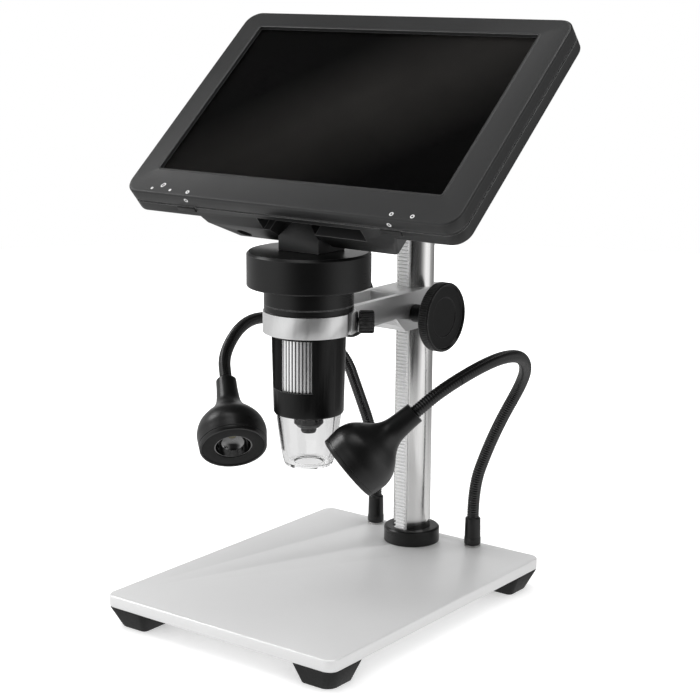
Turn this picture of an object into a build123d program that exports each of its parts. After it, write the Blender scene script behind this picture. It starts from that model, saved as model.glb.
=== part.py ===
from build123d import *
from math import cos, floor, pi, radians, sin, tan
import os

# LCD digital microscope: a stage plate with a racked column, a clamp bracket driven by a pinion,
# a microscope head with a tilting display, and two gooseneck lamps.
# Millimetres.  X points right, Y to the back, Z up.  The origin is the centre of the stage
# plate at floor level.  Heights called "above the stage" start at the plate's upper face.

os.makedirs("parts", exist_ok=True)

# ---------------------------------------------------------------- clearances
FIT = 0.05            # radial clearance of a pin or plug in its hole
RUNNING_GAP = 0.10    # gap between faces that turn or slide on each other
FREE_GAP = 0.30       # gap round a piece that moves without guiding

# ---------------------------------------------------------------- stage plate and feet
PLATE_WIDTH = 128.5
PLATE_DEPTH = 164.5
PLATE_THICKNESS = 5.5
PLATE_CORNER = 5.0
PLATE_EDGE = 0.5

FOOT_HEIGHT = 9.5
FOOT_TOP = 22.0
FOOT_BOTTOM = 16.0
FOOT_TAPER = 4.2           # how far the two outer sides lean in
FOOT_SOLE_CORNER = 5.0
FOOT_INNER_CORNER = 2.5
FOOT_SCREW_RADIUS = 1.5
FOOT_SCREW_HEAD = 3.0
FOOT_SCREW_RECESS = 3.0
FOOT_SCREW_HEAD_HEIGHT = 2.0
FOOT_SCREW_GRIP = 3.5      # thread length in the plate

# ---------------------------------------------------------------- column
COLUMN_INSET = 16.35       # column axis in front of the plate's back edge
COLUMN_RADIUS = 9.0
COLUMN_HEIGHT = 175.0
COLLAR_RADIUS = 13.6
COLLAR_HEIGHT = 7.5
COLLAR_EDGE = 0.8
COLUMN_BOLT_RADIUS = 3.0
COLUMN_BOLT_HEAD = 6.0
COLUMN_BOLT_HEAD_HEIGHT = 3.0
COLUMN_BOLT_LENGTH = 20.0
CAP_THICKNESS = 3.0
CAP_PLUG_RADIUS = 5.0
CAP_PLUG_LENGTH = 6.0

# ---------------------------------------------------------------- rack and pinion
GEAR_MODULE = 0.55
PINION_TEETH = 20
PINION_WIDTH = 7.0
TOOTH_SHARE = 0.42         # tooth thickness as a share of the pitch, the rest is backlash
PRESSURE_ANGLE = 20.0
RACK_WIDTH = 5.5
RACK_THICKNESS = 4.5
RACK_PROUD = 2.0           # how far the tooth tips stand out of the column
RACK_SIDE_GAP = 0.1
RACK_END_GAP = 3.0         # from the rack's upper end to the column's upper end
PINION_HEIGHT = 117.5      # above the stage, with the head at mid travel
SHAFT_RADIUS = 2.5
KNOB_RADIUS = 16.2
KNOB_THICKNESS = 5.6
KNOB_EDGE = 0.8
KNOB_FACE_X = 29.0
KNOB_RIM = 1.7
KNOB_DISH = 1.2
KNOB_INNER_DISH = 0.5       # second step down inside the dish
KNOB_INNER_RADIUS = 9.5
KNOB_HUB_RADIUS = 4.2
KNOB_WALL = 2.0            # knob material left over the shaft's end
KNOB_RIBS = 48
KNOB_RIB_DEPTH = 0.35
SET_SCREW_RADIUS = 1.0
SET_SCREW_INSET = 3.0      # from the knob's back face

# ---------------------------------------------------------------- clamp bracket
RING_RADIUS = 20.4
RING_BORE = 18.4
RING_HEIGHT = 9.5
RING_ABOVE_PINION = 10.2   # upper face of the bracket over the pinion axis
ARM_HALF_WIDTH = 10.6
ARM_WALL = 3.0
ARM_DEPTH = 12.7           # at the ring
ARM_DEPTH_AT_BLOCK = 11.0
POCKET_END = 25.9          # end of the pocket between the arms, in front of the column axis
BLOCK_SLANT_FRONT = 30.5   # the block's slanted underside, in front of the column axis
BLOCK_SLANT_BACK = 22.6
BLOCK_BELOW_PINION = 7.9
BLOCK_BACK_WALL = 3.0      # behind the column bore
BLOCK_CORNER = 3.0
PINION_CAVITY_GAP = 0.35
SPLIT_ANGLE = 8.5          # round the ring, from +X
SPLIT_WIDTH = 3.2
LUG_START = 13.0
LUG_END = 60.0
LUG_PROUD = 0.4
CLAMP_SCREW_ANGLE = 38.5
CLAMP_SCREW_DROP = 5.4     # below the bracket's upper face
CLAMP_SHANK_RADIUS = 2.2
CLAMP_WASHER_RADIUS = 4.6
CLAMP_WASHER_THICKNESS = 0.7
CLAMP_SHANK_VISIBLE = 0.5
CLAMP_HEAD_RADIUS = 5.15
CLAMP_HEAD_LENGTH = 6.8
CLAMP_HEAD_EDGE = 0.6
CLAMP_HEAD_RIBS = 26
CLAMP_HEAD_RIB_DEPTH = 0.4
TENSION_SCREW_RADIUS = 2.0
TENSION_PAD_THICKNESS = 1.2

# ---------------------------------------------------------------- microscope tube
TUBE_REACH = 82.1          # tube axis in front of the column axis
NECK_RADIUS = 19.9
NECK_LENGTH = 10.9
NECK_FLANGE_THICKNESS = 2.4
NECK_BORE = 13.4
TOP_CAP_RADIUS = 27.5
TOP_CAP_HEIGHT = 15.5
TOP_CAP_WALL = 2.0
TOP_CAP_EDGE = 0.9
BODY_TOP_RADIUS = 16.6
BODY_BOTTOM_RADIUS = 15.7
BODY_LENGTH = 36.7
BODY_EDGE = 0.8
BODY_SPIGOT_RADIUS = 14.9
BODY_SPIGOT_LENGTH = 6.5
BODY_BORE = 12.5
SENSOR_SEAT_RADIUS = 13.4
SENSOR_SEAT_HEIGHT = 1.2   # above the body's shoulder
BOARD_THICKNESS = 1.4
SENSOR_SIDE = 8.0
SENSOR_THICKNESS = 1.6
WINDOW_DROP = 1.7
WINDOW_HEIGHT = 23.3
WINDOW_FROM = -131.0       # round the tube, from +X
WINDOW_TO = -47.0
WINDOW_OPEN_FROM = -103.0  # left of this the window is only a shallow recess
WINDOW_RECESS = 0.7

WHEEL_RADIUS = 15.0
WHEEL_BORE = 9.3
WHEEL_RIBS = 38
WHEEL_RIB_DEPTH = 0.9
WHEEL_RIB_SHARE = 0.62
WHEEL_SIDE_WALL = 0.6      # body wall between window edge and wheel cavity, above and below

LENS_BARREL_RADIUS = 6.6
LENS_CARRIER_RADIUS = 9.0
LENS_CARRIER_LENGTH = 14.0
LENS_BARREL_REACH = 6.8    # below the body
LENS_BARREL_BEVEL = 1.8
LENS_TIP_RADIUS = 3.5
LENS_TIP_LENGTH = 2.5
LENS_GLASS_RADIUS = 2.6
LENS_GLASS_THICKNESS = 1.2

LIGHT_BOARD_RADIUS = 13.8
LIGHT_BOARD_BORE = 7.2
LIGHT_BOARD_THICKNESS = 1.2
LIGHT_COUNT = 8
LIGHT_CIRCLE = 10.4
LIGHT_SIDE = 2.2
LIGHT_THICKNESS = 0.9

NOSE_TOP_RADIUS = 14.7
NOSE_KNEE_RADIUS = 12.5
NOSE_END_RADIUS = 11.2
NOSE_LENGTH = 24.0         # below the body
NOSE_KNEE_LENGTH = 16.5
NOSE_SEAT = 3.5            # inside the body
NOSE_WALL = 1.4
NOSE_WINDOW_RADIUS = 6.5

# ---------------------------------------------------------------- screen hinge
HINGE_WIDTH = 22.4
HINGE_DEPTH = 19.0
HINGE_BLOCK_HEIGHT = 6.3
HINGE_TONGUE = 9.2
HINGE_TONGUE_RADIUS = 5.3
HINGE_OFFSET_Y = 1.9       # pivot behind the tube axis
PIVOT_HEIGHT = 17.8        # above the top cap
PIN_RADIUS = 2.0
CHEEK_RADIUS = 4.4
CHEEK_THICKNESS = 5.5
KNUCKLE_PLATE = 1.2

# ---------------------------------------------------------------- screen
SCREEN_WIDTH = 181.5
SCREEN_HEIGHT = 121.0
SCREEN_CORNER = 7.8
SCREEN_LEAN = 49.5         # back from vertical at rest
PIVOT_INSET = 16.0         # pivot above the screen's lower wall
PIVOT_DEPTH = 18.4         # pivot behind the screen's front face
BEZEL_DEPTH = 6.2
BEZEL_FRONT = 1.6
BEZEL_EDGE = 1.0
SHELL_DEPTH = 13.1         # front face to back face of the flat case
CASE_WALL = 2.2
CASE_BACK_WALL = 2.0
CASE_BACK_EDGE = 1.5
SEAM_WIDTH = 0.6
SEAM_DEPTH = 0.5
BORDER_LEFT = 12.25        # case edge to display opening
BORDER_RIGHT = 14.35
BORDER_TOP = 10.5
BORDER_BOTTOM = 15.4
OPENING_CORNER = 1.0
LIP_WIDTH = 1.0
LIP_HEIGHT = 0.3
GLASS_MARGIN = 1.6
GLASS_THICKNESS = 1.0
PANEL_MARGIN = 2.4
PANEL_THICKNESS = 3.2
CASE_SCREW_SIDE_INSET = 5.75
CASE_SCREW_END_INSET = 5.9
CASE_SCREW_RADIUS = 1.1
CASE_SCREW_HEAD = 2.3
CASE_SCREW_HEAD_HEIGHT = 1.3
CASE_POST_RADIUS = 3.0
CASE_SCREW_BITE = 3.0

HUMP_LEFT = -50.9          # at the case's back face
HUMP_RIGHT = 56.3
HUMP_TOP = -5.0
HUMP_DEPTH = 29.5
HUMP_STEP_DEPTH = 16.0     # the lower wall runs straight down to here
HUMP_SIDE_SLOPE = 0.58     # mm inwards for each mm of depth
HUMP_TOP_SLOPE = 0.40
HUMP_FOOT_RISE = 5.5       # how far the lower side comes up between step and back face
HUMP_CORNER = 7.0
HUMP_FOOT_CORNER = 1.5
RECESS_LEFT = -16.0
RECESS_RIGHT_INSET = 50.75  # from the side of the case
RECESS_TOP = -34.0
RECESS_FLOOR = 9.0         # depth behind the front face where the recess starts
NOTCH_GAP = 1.2            # beside the hinge block, through the hump's lower side
CABLE_HOLE_RADIUS = 3.5
CABLE_HOLE_X = -34.3
CABLE_HOLE_Z = 25.2        # behind the front face
CABLE_HOLE_DEPTH = 3.0

BATTERY_RADIUS = 9.1
BATTERY_LENGTH = 65.0
BATTERY_Y = -21.0
BOARD_WIDTH = 46.0
BOARD_HEIGHT = 64.0
BOARD_LEFT_GAP = 0.6
BOARD_Y = 16.0
MAIN_BOARD_THICKNESS = 1.0
BOARD_BEHIND_PANEL = 0.4
SOCKET_WIDTH = 7.6
SOCKET_LENGTH = 5.8
SOCKET_THICKNESS = 2.3
SOCKET_Y = 30.0

KEY_LENGTH = 10.6
KEY_WIDTH = 2.4
KEY_DEPTH = 8.3            # centre of the key behind the front face
KEY_INSET = 34.55          # key centre from the side of the case
KEY_PROUD = 0.6
KEY_FLANGE = 0.8
KEY_CLEARANCE = 0.15

# ---------------------------------------------------------------- gooseneck lamps
ARM_X = 29.2
ARM_INSET = 6.25           # in front of the plate's back edge
STUD_RADIUS = 2.5
STUD_PIN_RADIUS = 2.0
STUD_PIN_LENGTH = 9.0
STUD_FLANGE_RADIUS = 4.0
STUD_FLANGE = 0.8
NUT_WIDTH = 8.0            # across flats
NUT_THICKNESS = 3.0
SLEEVE_BOTTOM_RADIUS = 4.1
SLEEVE_TOP_RADIUS = 3.7
SLEEVE_TOP = 14.5          # above the stage
SLEEVE_EDGE = 0.5
NECK_TUBE_RADIUS = 2.9
ROUTE = [                  # right gooseneck from the stud's foot, from the sleeve to its last bend
    (0.0, 0.0, 14.5),
    (0.0, 0.0, 30.0),
    (5.3, 2.5, 48.0),
    (13.3, 2.5, 65.5),
    (23.3, 4.0, 84.5),
    (33.8, -10.0, 97.0),
    (41.3, -30.0, 106.5),
    (41.8, -53.0, 108.0),
]
LAST_RUN = 16.3            # from the last bend to the lamp's neck
ROUND_SHARE = 0.45         # share of the shorter run that a bend takes up
FLEX_LEAD = 1.0            # straight piece of the flexing end before its bend

LAMP_FACE = (32.4, -14.1, 64.0)   # centre of the right lamp's rim, from the tube axis at stage level
LEFT_LAMP_DROP = 2.0       # how much lower the left lamp hangs
LAMP_HEADING = 43.0        # of the neck, seen from above, from +X
LAMP_ELEVATION = 40.0      # of the neck over the horizontal
LAMP_LENGTH = 38.0
LAMP_RIM_RADIUS = 15.4
LAMP_BELLY_RADIUS = 16.0
LAMP_BELLY = 8.7           # from the rim
LAMP_SHOULDER = 16.5
LAMP_SHOULDER_RADIUS = 12.0
LAMP_WAIST = 24.5
LAMP_WAIST_RADIUS = 5.7
LAMP_NECK_RADIUS = 4.8
LAMP_WALL = 1.0
LAMP_RING_THICKNESS = 1.2
LAMP_RING_INSET = 0.4
LAMP_LED_SEAT = 9.0
LAMP_CAVITY_RADIUS = 11.0
LAMP_INSERT = 8.0          # gooseneck end held in the neck
LAMP_WIRE_RADIUS = 1.5
REFLECTOR_RADIUS = 8.6
REFLECTOR_THROAT = 2.6
REFLECTOR_WALL = 0.5
LED_BOARD_THICKNESS = 1.2
LED_RADIUS = 2.0
LED_HEIGHT = 1.6

# ---------------------------------------------------------------- derived places
stage_top = FOOT_HEIGHT + PLATE_THICKNESS
plate_back = PLATE_DEPTH / 2
column_y = plate_back - COLUMN_INSET
arm_y = plate_back - ARM_INSET
tube_y = column_y - TUBE_REACH
column_top = stage_top + COLUMN_HEIGHT
collar_top = stage_top + COLLAR_HEIGHT

pitch = pi * GEAR_MODULE
pitch_radius = GEAR_MODULE * PINION_TEETH / 2
addendum = GEAR_MODULE
dedendum = 1.25 * GEAR_MODULE
rack_tip_y = column_y - COLUMN_RADIUS - RACK_PROUD
rack_back_y = rack_tip_y + RACK_THICKNESS
rack_pitch_y = rack_tip_y + addendum
pinion_y = rack_pitch_y - pitch_radius
pinion_z = stage_top + PINION_HEIGHT

ring_top = pinion_z + RING_ABOVE_PINION
ring_bottom = ring_top - RING_HEIGHT
block_bottom = pinion_z - BLOCK_BELOW_PINION
column_bore = COLUMN_RADIUS + FIT
block_back = column_y + column_bore + BLOCK_BACK_WALL
clamp_screw_z = ring_top - CLAMP_SCREW_DROP

neck_shoulder = ring_top + RUNNING_GAP
neck_top = neck_shoulder + NECK_LENGTH
cap_top = neck_top + TOP_CAP_HEIGHT
body_top = ring_bottom
body_bottom = body_top - BODY_LENGTH
window_top = body_top - WINDOW_DROP
window_bottom = window_top - WINDOW_HEIGHT
cavity_top = window_top + WHEEL_SIDE_WALL
cavity_bottom = window_bottom - WHEEL_SIDE_WALL
wheel_cavity_radius = WHEEL_RADIUS + FREE_GAP

pivot_y = tube_y + HINGE_OFFSET_Y
pivot_z = cap_top + PIVOT_HEIGHT
lean = radians(SCREEN_LEAN)
screen_up = Vector(0, sin(lean), cos(lean))
screen_normal = Vector(0, -cos(lean), sin(lean))
pivot_on_screen_y = PIVOT_INSET - SCREEN_HEIGHT / 2
screen_centre = Vector(0, pivot_y, pivot_z) - screen_up * pivot_on_screen_y + screen_normal * PIVOT_DEPTH
screen_plane = Plane(origin=screen_centre, x_dir=(1, 0, 0), z_dir=screen_normal)

lamp_axis = Vector(
    cos(radians(LAMP_ELEVATION)) * cos(radians(LAMP_HEADING)),
    cos(radians(LAMP_ELEVATION)) * sin(radians(LAMP_HEADING)),
    sin(radians(LAMP_ELEVATION)),
)
lamp_face = Vector(*LAMP_FACE) + Vector(0, tube_y, stage_top)
lamp_neck_end = lamp_face + lamp_axis * LAMP_LENGTH
lamp_plane = Plane(origin=lamp_face, x_dir=(sin(radians(LAMP_HEADING)), -cos(radians(LAMP_HEADING)), 0),
                   z_dir=lamp_axis)

BASE_UP = (Align.CENTER, Align.CENTER, Align.MIN)


# ---------------------------------------------------------------- small helpers
def save(name, shape):
    """Write one node's solids to its own file."""
    shape.label = name
    export_step(shape, f"parts/{name}.step")


def group(shapes):
    """Several separate solids that share one node."""
    return Compound(children=list(shapes))


def disc(radius, bottom, top, x=0.0, y=0.0):
    """Upright cylinder between two heights."""
    return Pos(x, y, bottom) * Cylinder(radius, top - bottom, align=BASE_UP)


def block(x0, x1, y0, y1, z0, z1):
    """Box between two corners."""
    return Pos((x0 + x1) / 2, (y0 + y1) / 2, (z0 + z1) / 2) * Box(x1 - x0, y1 - y0, z1 - z0)


def rod_x(radius, x0, x1, y, z):
    """Cylinder along X."""
    return Pos(x0, y, z) * Rot(0, 90, 0) * Cylinder(radius, x1 - x0, align=BASE_UP)


def rod_y(radius, y0, y1, x, z):
    """Cylinder along Y."""
    return Pos(x, y0, z) * Rot(-90, 0, 0) * Cylinder(radius, y1 - y0, align=BASE_UP)


def turned(points):
    """Solid of revolution about Z from (radius, height) corners."""
    outline = Polyline(*[(radius, 0, height) for radius, height in points], close=True)
    return revolve(make_face(outline), Axis.Z)


def side_plate(points, half_width):
    """Plate across X from a (y, z) outline."""
    outline = make_face(Polyline(*[(0, y, z) for y, z in points], close=True))
    return extrude(outline, half_width, dir=(1, 0, 0), both=True)


def rounded_slab(width, height, corner, z0, z1, x=0.0, y=0.0):
    """Rounded rectangle between two levels."""
    return Pos(x, y, z0) * extrude(RectangleRounded(width, height, corner), z1 - z0)


def toothed_outline(count, root, tip, root_share, tip_share):
    """Closed wheel outline with straight-sided teeth, one tooth space centred on +X."""
    step = 2 * pi / count
    points = []
    for i in range(count):
        middle = (i + 0.5) * step
        corners = [(root, -root_share), (tip, -tip_share), (tip, tip_share), (root, root_share)]
        for radius, share in corners:
            angle = middle + share * step / 2
            points.append((radius * cos(angle), radius * sin(angle)))
    return make_face(Polyline(*points, close=True))


def mirrored(shape):
    """The same piece on the other side of the middle plane."""
    return mirror(shape, about=Plane.YZ)


def at_tube(shape):
    """Move a piece made round Z onto the tube axis."""
    return Pos(0, tube_y, 0) * shape


def on_screen(shape):
    """Move a piece from screen coordinates (x right, y up the face, z out of the face)."""
    return screen_plane.location * shape


def on_lamp(shape):
    """Move a piece made round Z, with the rim at z = 0, onto the right lamp."""
    return lamp_plane.location * shape


# ---------------------------------------------------------------- stage
def foot_section(side, outer_corner, inset, height):
    """Foot outline in the plate's back right corner, inset from the plate's two edges."""
    right = PLATE_WIDTH / 2 - inset
    back = PLATE_DEPTH / 2 - inset
    square = Pos(right - side / 2, back - side / 2, height) * Rectangle(side, side)
    corners = square.vertices().sort_by(lambda v: v.X + v.Y)
    square = fillet(corners[-1], outer_corner)
    corners = square.vertices().filter_by(lambda v: min(right - v.X, back - v.Y) > side - 1e-3
                                          or max(right - v.X, back - v.Y) > side - 1e-3)
    return fillet(corners, FOOT_INNER_CORNER)


foot_middle = (FOOT_TAPER + (FOOT_TAPER + FOOT_BOTTOM)) / 2
foot_x = PLATE_WIDTH / 2 - foot_middle
foot_y = PLATE_DEPTH / 2 - foot_middle
foot_places = [(sx, sy) for sy in (-1, 1) for sx in (-1, 1)]
foot_names = ["foot_front_left", "foot_front_right", "foot_back_left", "foot_back_right"]


def make_foot():
    """Tapered foot with a recessed screw hole."""
    top = foot_section(FOOT_TOP, PLATE_CORNER, 0, FOOT_HEIGHT)
    sole = foot_section(FOOT_BOTTOM, FOOT_SOLE_CORNER, FOOT_TAPER, 0)
    foot = loft([sole, top], ruled=True)
    foot -= disc(FOOT_SCREW_RADIUS + FIT, 0, FOOT_HEIGHT, foot_x, foot_y)
    foot -= disc(FOOT_SCREW_HEAD + FIT, 0, FOOT_SCREW_RECESS + FOOT_SCREW_HEAD_HEIGHT, foot_x, foot_y)
    return foot


def to_corner(shape, sx, sy):
    """Mirror a back right piece into another corner."""
    if sx < 0:
        shape = mirror(shape, about=Plane.YZ)
    if sy < 0:
        shape = mirror(shape, about=Plane.XZ)
    return shape


def make_foot_screw():
    """Pan head screw, seated in the foot's recess."""
    seat = FOOT_SCREW_RECESS + FOOT_SCREW_HEAD_HEIGHT
    screw = disc(FOOT_SCREW_HEAD, FOOT_SCREW_RECESS, seat, foot_x, foot_y)
    return screw + disc(FOOT_SCREW_RADIUS, seat, FOOT_HEIGHT + FOOT_SCREW_GRIP, foot_x, foot_y)


def make_plate():
    """Stage plate with the holes for the feet, the column and the two lamp studs."""
    plate = rounded_slab(PLATE_WIDTH, PLATE_DEPTH, PLATE_CORNER, FOOT_HEIGHT, stage_top)
    rims = plate.faces().sort_by(Axis.Z)[-1].edges() + plate.faces().sort_by(Axis.Z)[0].edges()
    plate = chamfer(rims, PLATE_EDGE)
    for sx, sy in foot_places:
        plate -= disc(FOOT_SCREW_RADIUS + FIT, FOOT_HEIGHT, FOOT_HEIGHT + FOOT_SCREW_GRIP,
                      sx * foot_x, sy * foot_y)
    for side in (-1, 1):
        plate -= disc(STUD_RADIUS + FIT, FOOT_HEIGHT, stage_top, side * ARM_X, arm_y)
    plate -= Pos(0, column_y, 0) * turned(column_bolt_outline(FIT))
    return plate


def column_bolt_outline(clearance):
    """Countersunk bolt from below, grown by a clearance for its hole."""
    head = COLUMN_BOLT_HEAD + clearance
    shank = COLUMN_BOLT_RADIUS + clearance
    underside = FOOT_HEIGHT
    tip = FOOT_HEIGHT + COLUMN_BOLT_LENGTH + clearance
    neck = FOOT_HEIGHT + COLUMN_BOLT_HEAD_HEIGHT + clearance
    return [(0, underside), (head, underside), (shank, neck), (shank, tip), (0, tip)]


# ---------------------------------------------------------------- column
def make_column():
    """Round column with a slot for the rack, a thread below and a plug hole above."""
    column = disc(COLUMN_RADIUS, stage_top, column_top, 0, column_y)
    half_slot = RACK_WIDTH / 2 + RACK_SIDE_GAP
    column -= block(-half_slot, half_slot, column_y - 2 * COLUMN_RADIUS, rack_back_y,
                    collar_top, column_top)
    column -= Pos(0, column_y, 0) * turned(column_bolt_outline(FIT))
    column -= disc(CAP_PLUG_RADIUS + FIT, column_top - CAP_PLUG_LENGTH - FIT, column_top, 0, column_y)
    return column


def make_rack():
    """Toothed bar that stands on the collar, one tooth centred on the pinion's height."""
    rack_top = column_top - RACK_END_GAP
    flank = tan(radians(PRESSURE_ANGLE))
    half_tip = TOOTH_SHARE * pitch / 2 - addendum * flank
    half_root = TOOTH_SHARE * pitch / 2 + dedendum * flank
    root_y = rack_pitch_y + dedendum
    first = -floor((pinion_z - collar_top - half_root) / pitch)
    last = floor((rack_top - pinion_z - half_root) / pitch)
    points = [(root_y, collar_top)]
    for i in range(first, last + 1):
        z = pinion_z + i * pitch
        points += [(root_y, z - half_root), (rack_tip_y, z - half_tip),
                   (rack_tip_y, z + half_tip), (root_y, z + half_root)]
    points += [(root_y, rack_top), (rack_back_y, rack_top), (rack_back_y, collar_top)]
    return side_plate(points, RACK_WIDTH / 2)


def make_collar():
    """Ring round the column's foot."""
    ring = disc(COLLAR_RADIUS, stage_top, collar_top, 0, column_y)
    ring = chamfer(ring.edges().group_by(Axis.Z)[-1], COLLAR_EDGE)
    return ring - disc(COLUMN_RADIUS + FIT, stage_top, collar_top, 0, column_y)


def make_column_cap():
    """Plug that closes the column's upper end."""
    cap = disc(COLUMN_RADIUS, column_top, column_top + CAP_THICKNESS, 0, column_y)
    cap = fillet(cap.edges().group_by(Axis.Z)[-1], CAP_THICKNESS / 3)
    return cap + disc(CAP_PLUG_RADIUS, column_top - CAP_PLUG_LENGTH, column_top, 0, column_y)


# ---------------------------------------------------------------- clamp bracket
def make_bracket():
    """Split ring, two arms and a block that slides on the column."""
    arm_start = tube_y + RING_BORE / 2
    outline = [
        (arm_start, ring_top),
        (block_back, ring_top),
        (block_back, block_bottom),
        (column_y - BLOCK_SLANT_BACK, block_bottom),
        (column_y - BLOCK_SLANT_FRONT, ring_top - ARM_DEPTH_AT_BLOCK),
        (arm_start, ring_top - ARM_DEPTH),
    ]
    body = side_plate(outline, ARM_HALF_WIDTH)
    back_edges = body.edges().filter_by(Axis.Z).group_by(Axis.Y)[-1]
    body = fillet(back_edges, BLOCK_CORNER)
    pocket_width = ARM_HALF_WIDTH - ARM_WALL
    body -= block(-pocket_width, pocket_width, tube_y, column_y - POCKET_END,
                  ring_top - 2 * ARM_DEPTH, ring_top)
    ring = at_tube(disc(RING_RADIUS, ring_bottom, ring_top))
    lug = at_tube(disc(RING_RADIUS + LUG_PROUD, ring_bottom, ring_top))
    lug -= sector_outside(LUG_START, LUG_END, ring_bottom, ring_top)
    bracket = body + ring + lug
    bracket -= at_tube(disc(RING_BORE, ring_top - 2 * ARM_DEPTH, ring_top))
    reach = RING_RADIUS + 2 * LUG_PROUD
    split = block(0, reach, -SPLIT_WIDTH / 2, SPLIT_WIDTH / 2, ring_bottom, ring_top)
    bracket -= at_tube(Rot(0, 0, SPLIT_ANGLE) * split)
    bracket -= clamp_screw_place() * Pos(0, 0, RING_BORE / 2) * Cylinder(
        CLAMP_SHANK_RADIUS + FIT, RING_RADIUS, align=BASE_UP)
    bracket -= disc(column_bore, block_bottom, ring_top, 0, column_y)
    half_slot = RACK_WIDTH / 2 + FREE_GAP
    bracket -= block(-half_slot, half_slot, rack_tip_y - FREE_GAP, column_y, block_bottom, ring_top)
    cavity = pitch_radius + addendum + PINION_CAVITY_GAP
    half_gear = PINION_WIDTH / 2 + FREE_GAP
    bracket -= rod_x(cavity, -half_gear, half_gear, pinion_y, pinion_z)
    bracket -= rod_x(SHAFT_RADIUS + FIT, -ARM_HALF_WIDTH, ARM_HALF_WIDTH, pinion_y, pinion_z)
    bracket -= rod_y(TENSION_SCREW_RADIUS + FIT, column_y, block_back, 0, pinion_z)
    return bracket


def sector_outside(start, end, bottom, top):
    """Everything near the ring that lies outside an angular sector round Z, placed at the tube."""
    reach = 2 * RING_RADIUS
    whole = disc(reach, bottom, top)
    middle = (start + end) / 2
    half = radians((end - start) / 2)
    wedge = make_face(Polyline((0, 0), (reach, -reach * tan(half)), (reach, reach * tan(half)),
                               close=True))
    wedge = Rot(0, 0, middle) * (Pos(0, 0, bottom) * extrude(wedge, top - bottom))
    return at_tube(whole - wedge)


def clamp_screw_place():
    """Location at the tube axis with Z pointing out along the clamp screw."""
    return Pos(0, tube_y, clamp_screw_z) * Rot(0, 0, CLAMP_SCREW_ANGLE) * Rot(0, 90, 0)


clamp_washer_start = RING_RADIUS + LUG_PROUD + RUNNING_GAP
clamp_head_start = clamp_washer_start + CLAMP_WASHER_THICKNESS + CLAMP_SHANK_VISIBLE


def make_clamp_shank():
    """Threaded shank that bears on the tube's sleeve."""
    return clamp_screw_place() * disc(CLAMP_SHANK_RADIUS, RING_BORE, clamp_head_start)


def make_clamp_washer():
    """Flat washer between the lug and the thumb screw's head."""
    end = clamp_washer_start + CLAMP_WASHER_THICKNESS
    washer = disc(CLAMP_WASHER_RADIUS, clamp_washer_start, end)
    return clamp_screw_place() * (washer - disc(CLAMP_SHANK_RADIUS + FIT, clamp_washer_start, end))


def make_clamp_head():
    """Ribbed thumb screw head."""
    start = clamp_head_start
    outline = toothed_outline(CLAMP_HEAD_RIBS, CLAMP_HEAD_RADIUS - CLAMP_HEAD_RIB_DEPTH,
                              CLAMP_HEAD_RADIUS, 0.8, 0.35)
    ribbed = Pos(0, 0, start) * extrude(outline, CLAMP_HEAD_LENGTH)
    inner = CLAMP_HEAD_RADIUS - CLAMP_HEAD_EDGE
    end = start + CLAMP_HEAD_LENGTH
    bevelled = turned([(0, start), (inner, start), (CLAMP_HEAD_RADIUS, start + CLAMP_HEAD_EDGE),
                       (CLAMP_HEAD_RADIUS, end - CLAMP_HEAD_EDGE), (inner, end), (0, end)])
    return clamp_screw_place() * (ribbed & bevelled)


def make_tension_pad():
    """Nylon pad that brakes the block on the column."""
    front = column_y + COLUMN_RADIUS + RUNNING_GAP
    return rod_y(TENSION_SCREW_RADIUS, front, front + TENSION_PAD_THICKNESS, 0, pinion_z)


def make_tension_screw():
    """Grub screw behind the pad, flush with the block."""
    front = column_y + COLUMN_RADIUS + RUNNING_GAP + TENSION_PAD_THICKNESS
    return rod_y(TENSION_SCREW_RADIUS, front, block_back, 0, pinion_z)


# ---------------------------------------------------------------- pinion and knobs
shaft_end = KNOB_FACE_X - KNOB_DISH - KNOB_INNER_DISH - KNOB_WALL
knob_back = KNOB_FACE_X - KNOB_THICKNESS


def make_shaft():
    """Pinion shaft."""
    return rod_x(SHAFT_RADIUS, -shaft_end, shaft_end, pinion_y, pinion_z)


def make_pinion():
    """Pinion with a tooth space towards the rack."""
    flank = tan(radians(PRESSURE_ANGLE))
    half_pitch = pitch / 2
    root_share = (TOOTH_SHARE * half_pitch + dedendum * flank) / half_pitch
    tip_share = (TOOTH_SHARE * half_pitch - addendum * flank) / half_pitch
    outline = toothed_outline(PINION_TEETH, pitch_radius - dedendum, pitch_radius + addendum,
                              root_share, tip_share)
    gear = Pos(0, 0, -PINION_WIDTH / 2) * extrude(outline, PINION_WIDTH)
    gear -= Cylinder(SHAFT_RADIUS + FIT, 2 * PINION_WIDTH)
    toward_rack = Rot(0, 90, 0) * Rot(0, 0, 90)
    return Pos(0, pinion_y, pinion_z) * toward_rack * gear


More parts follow.
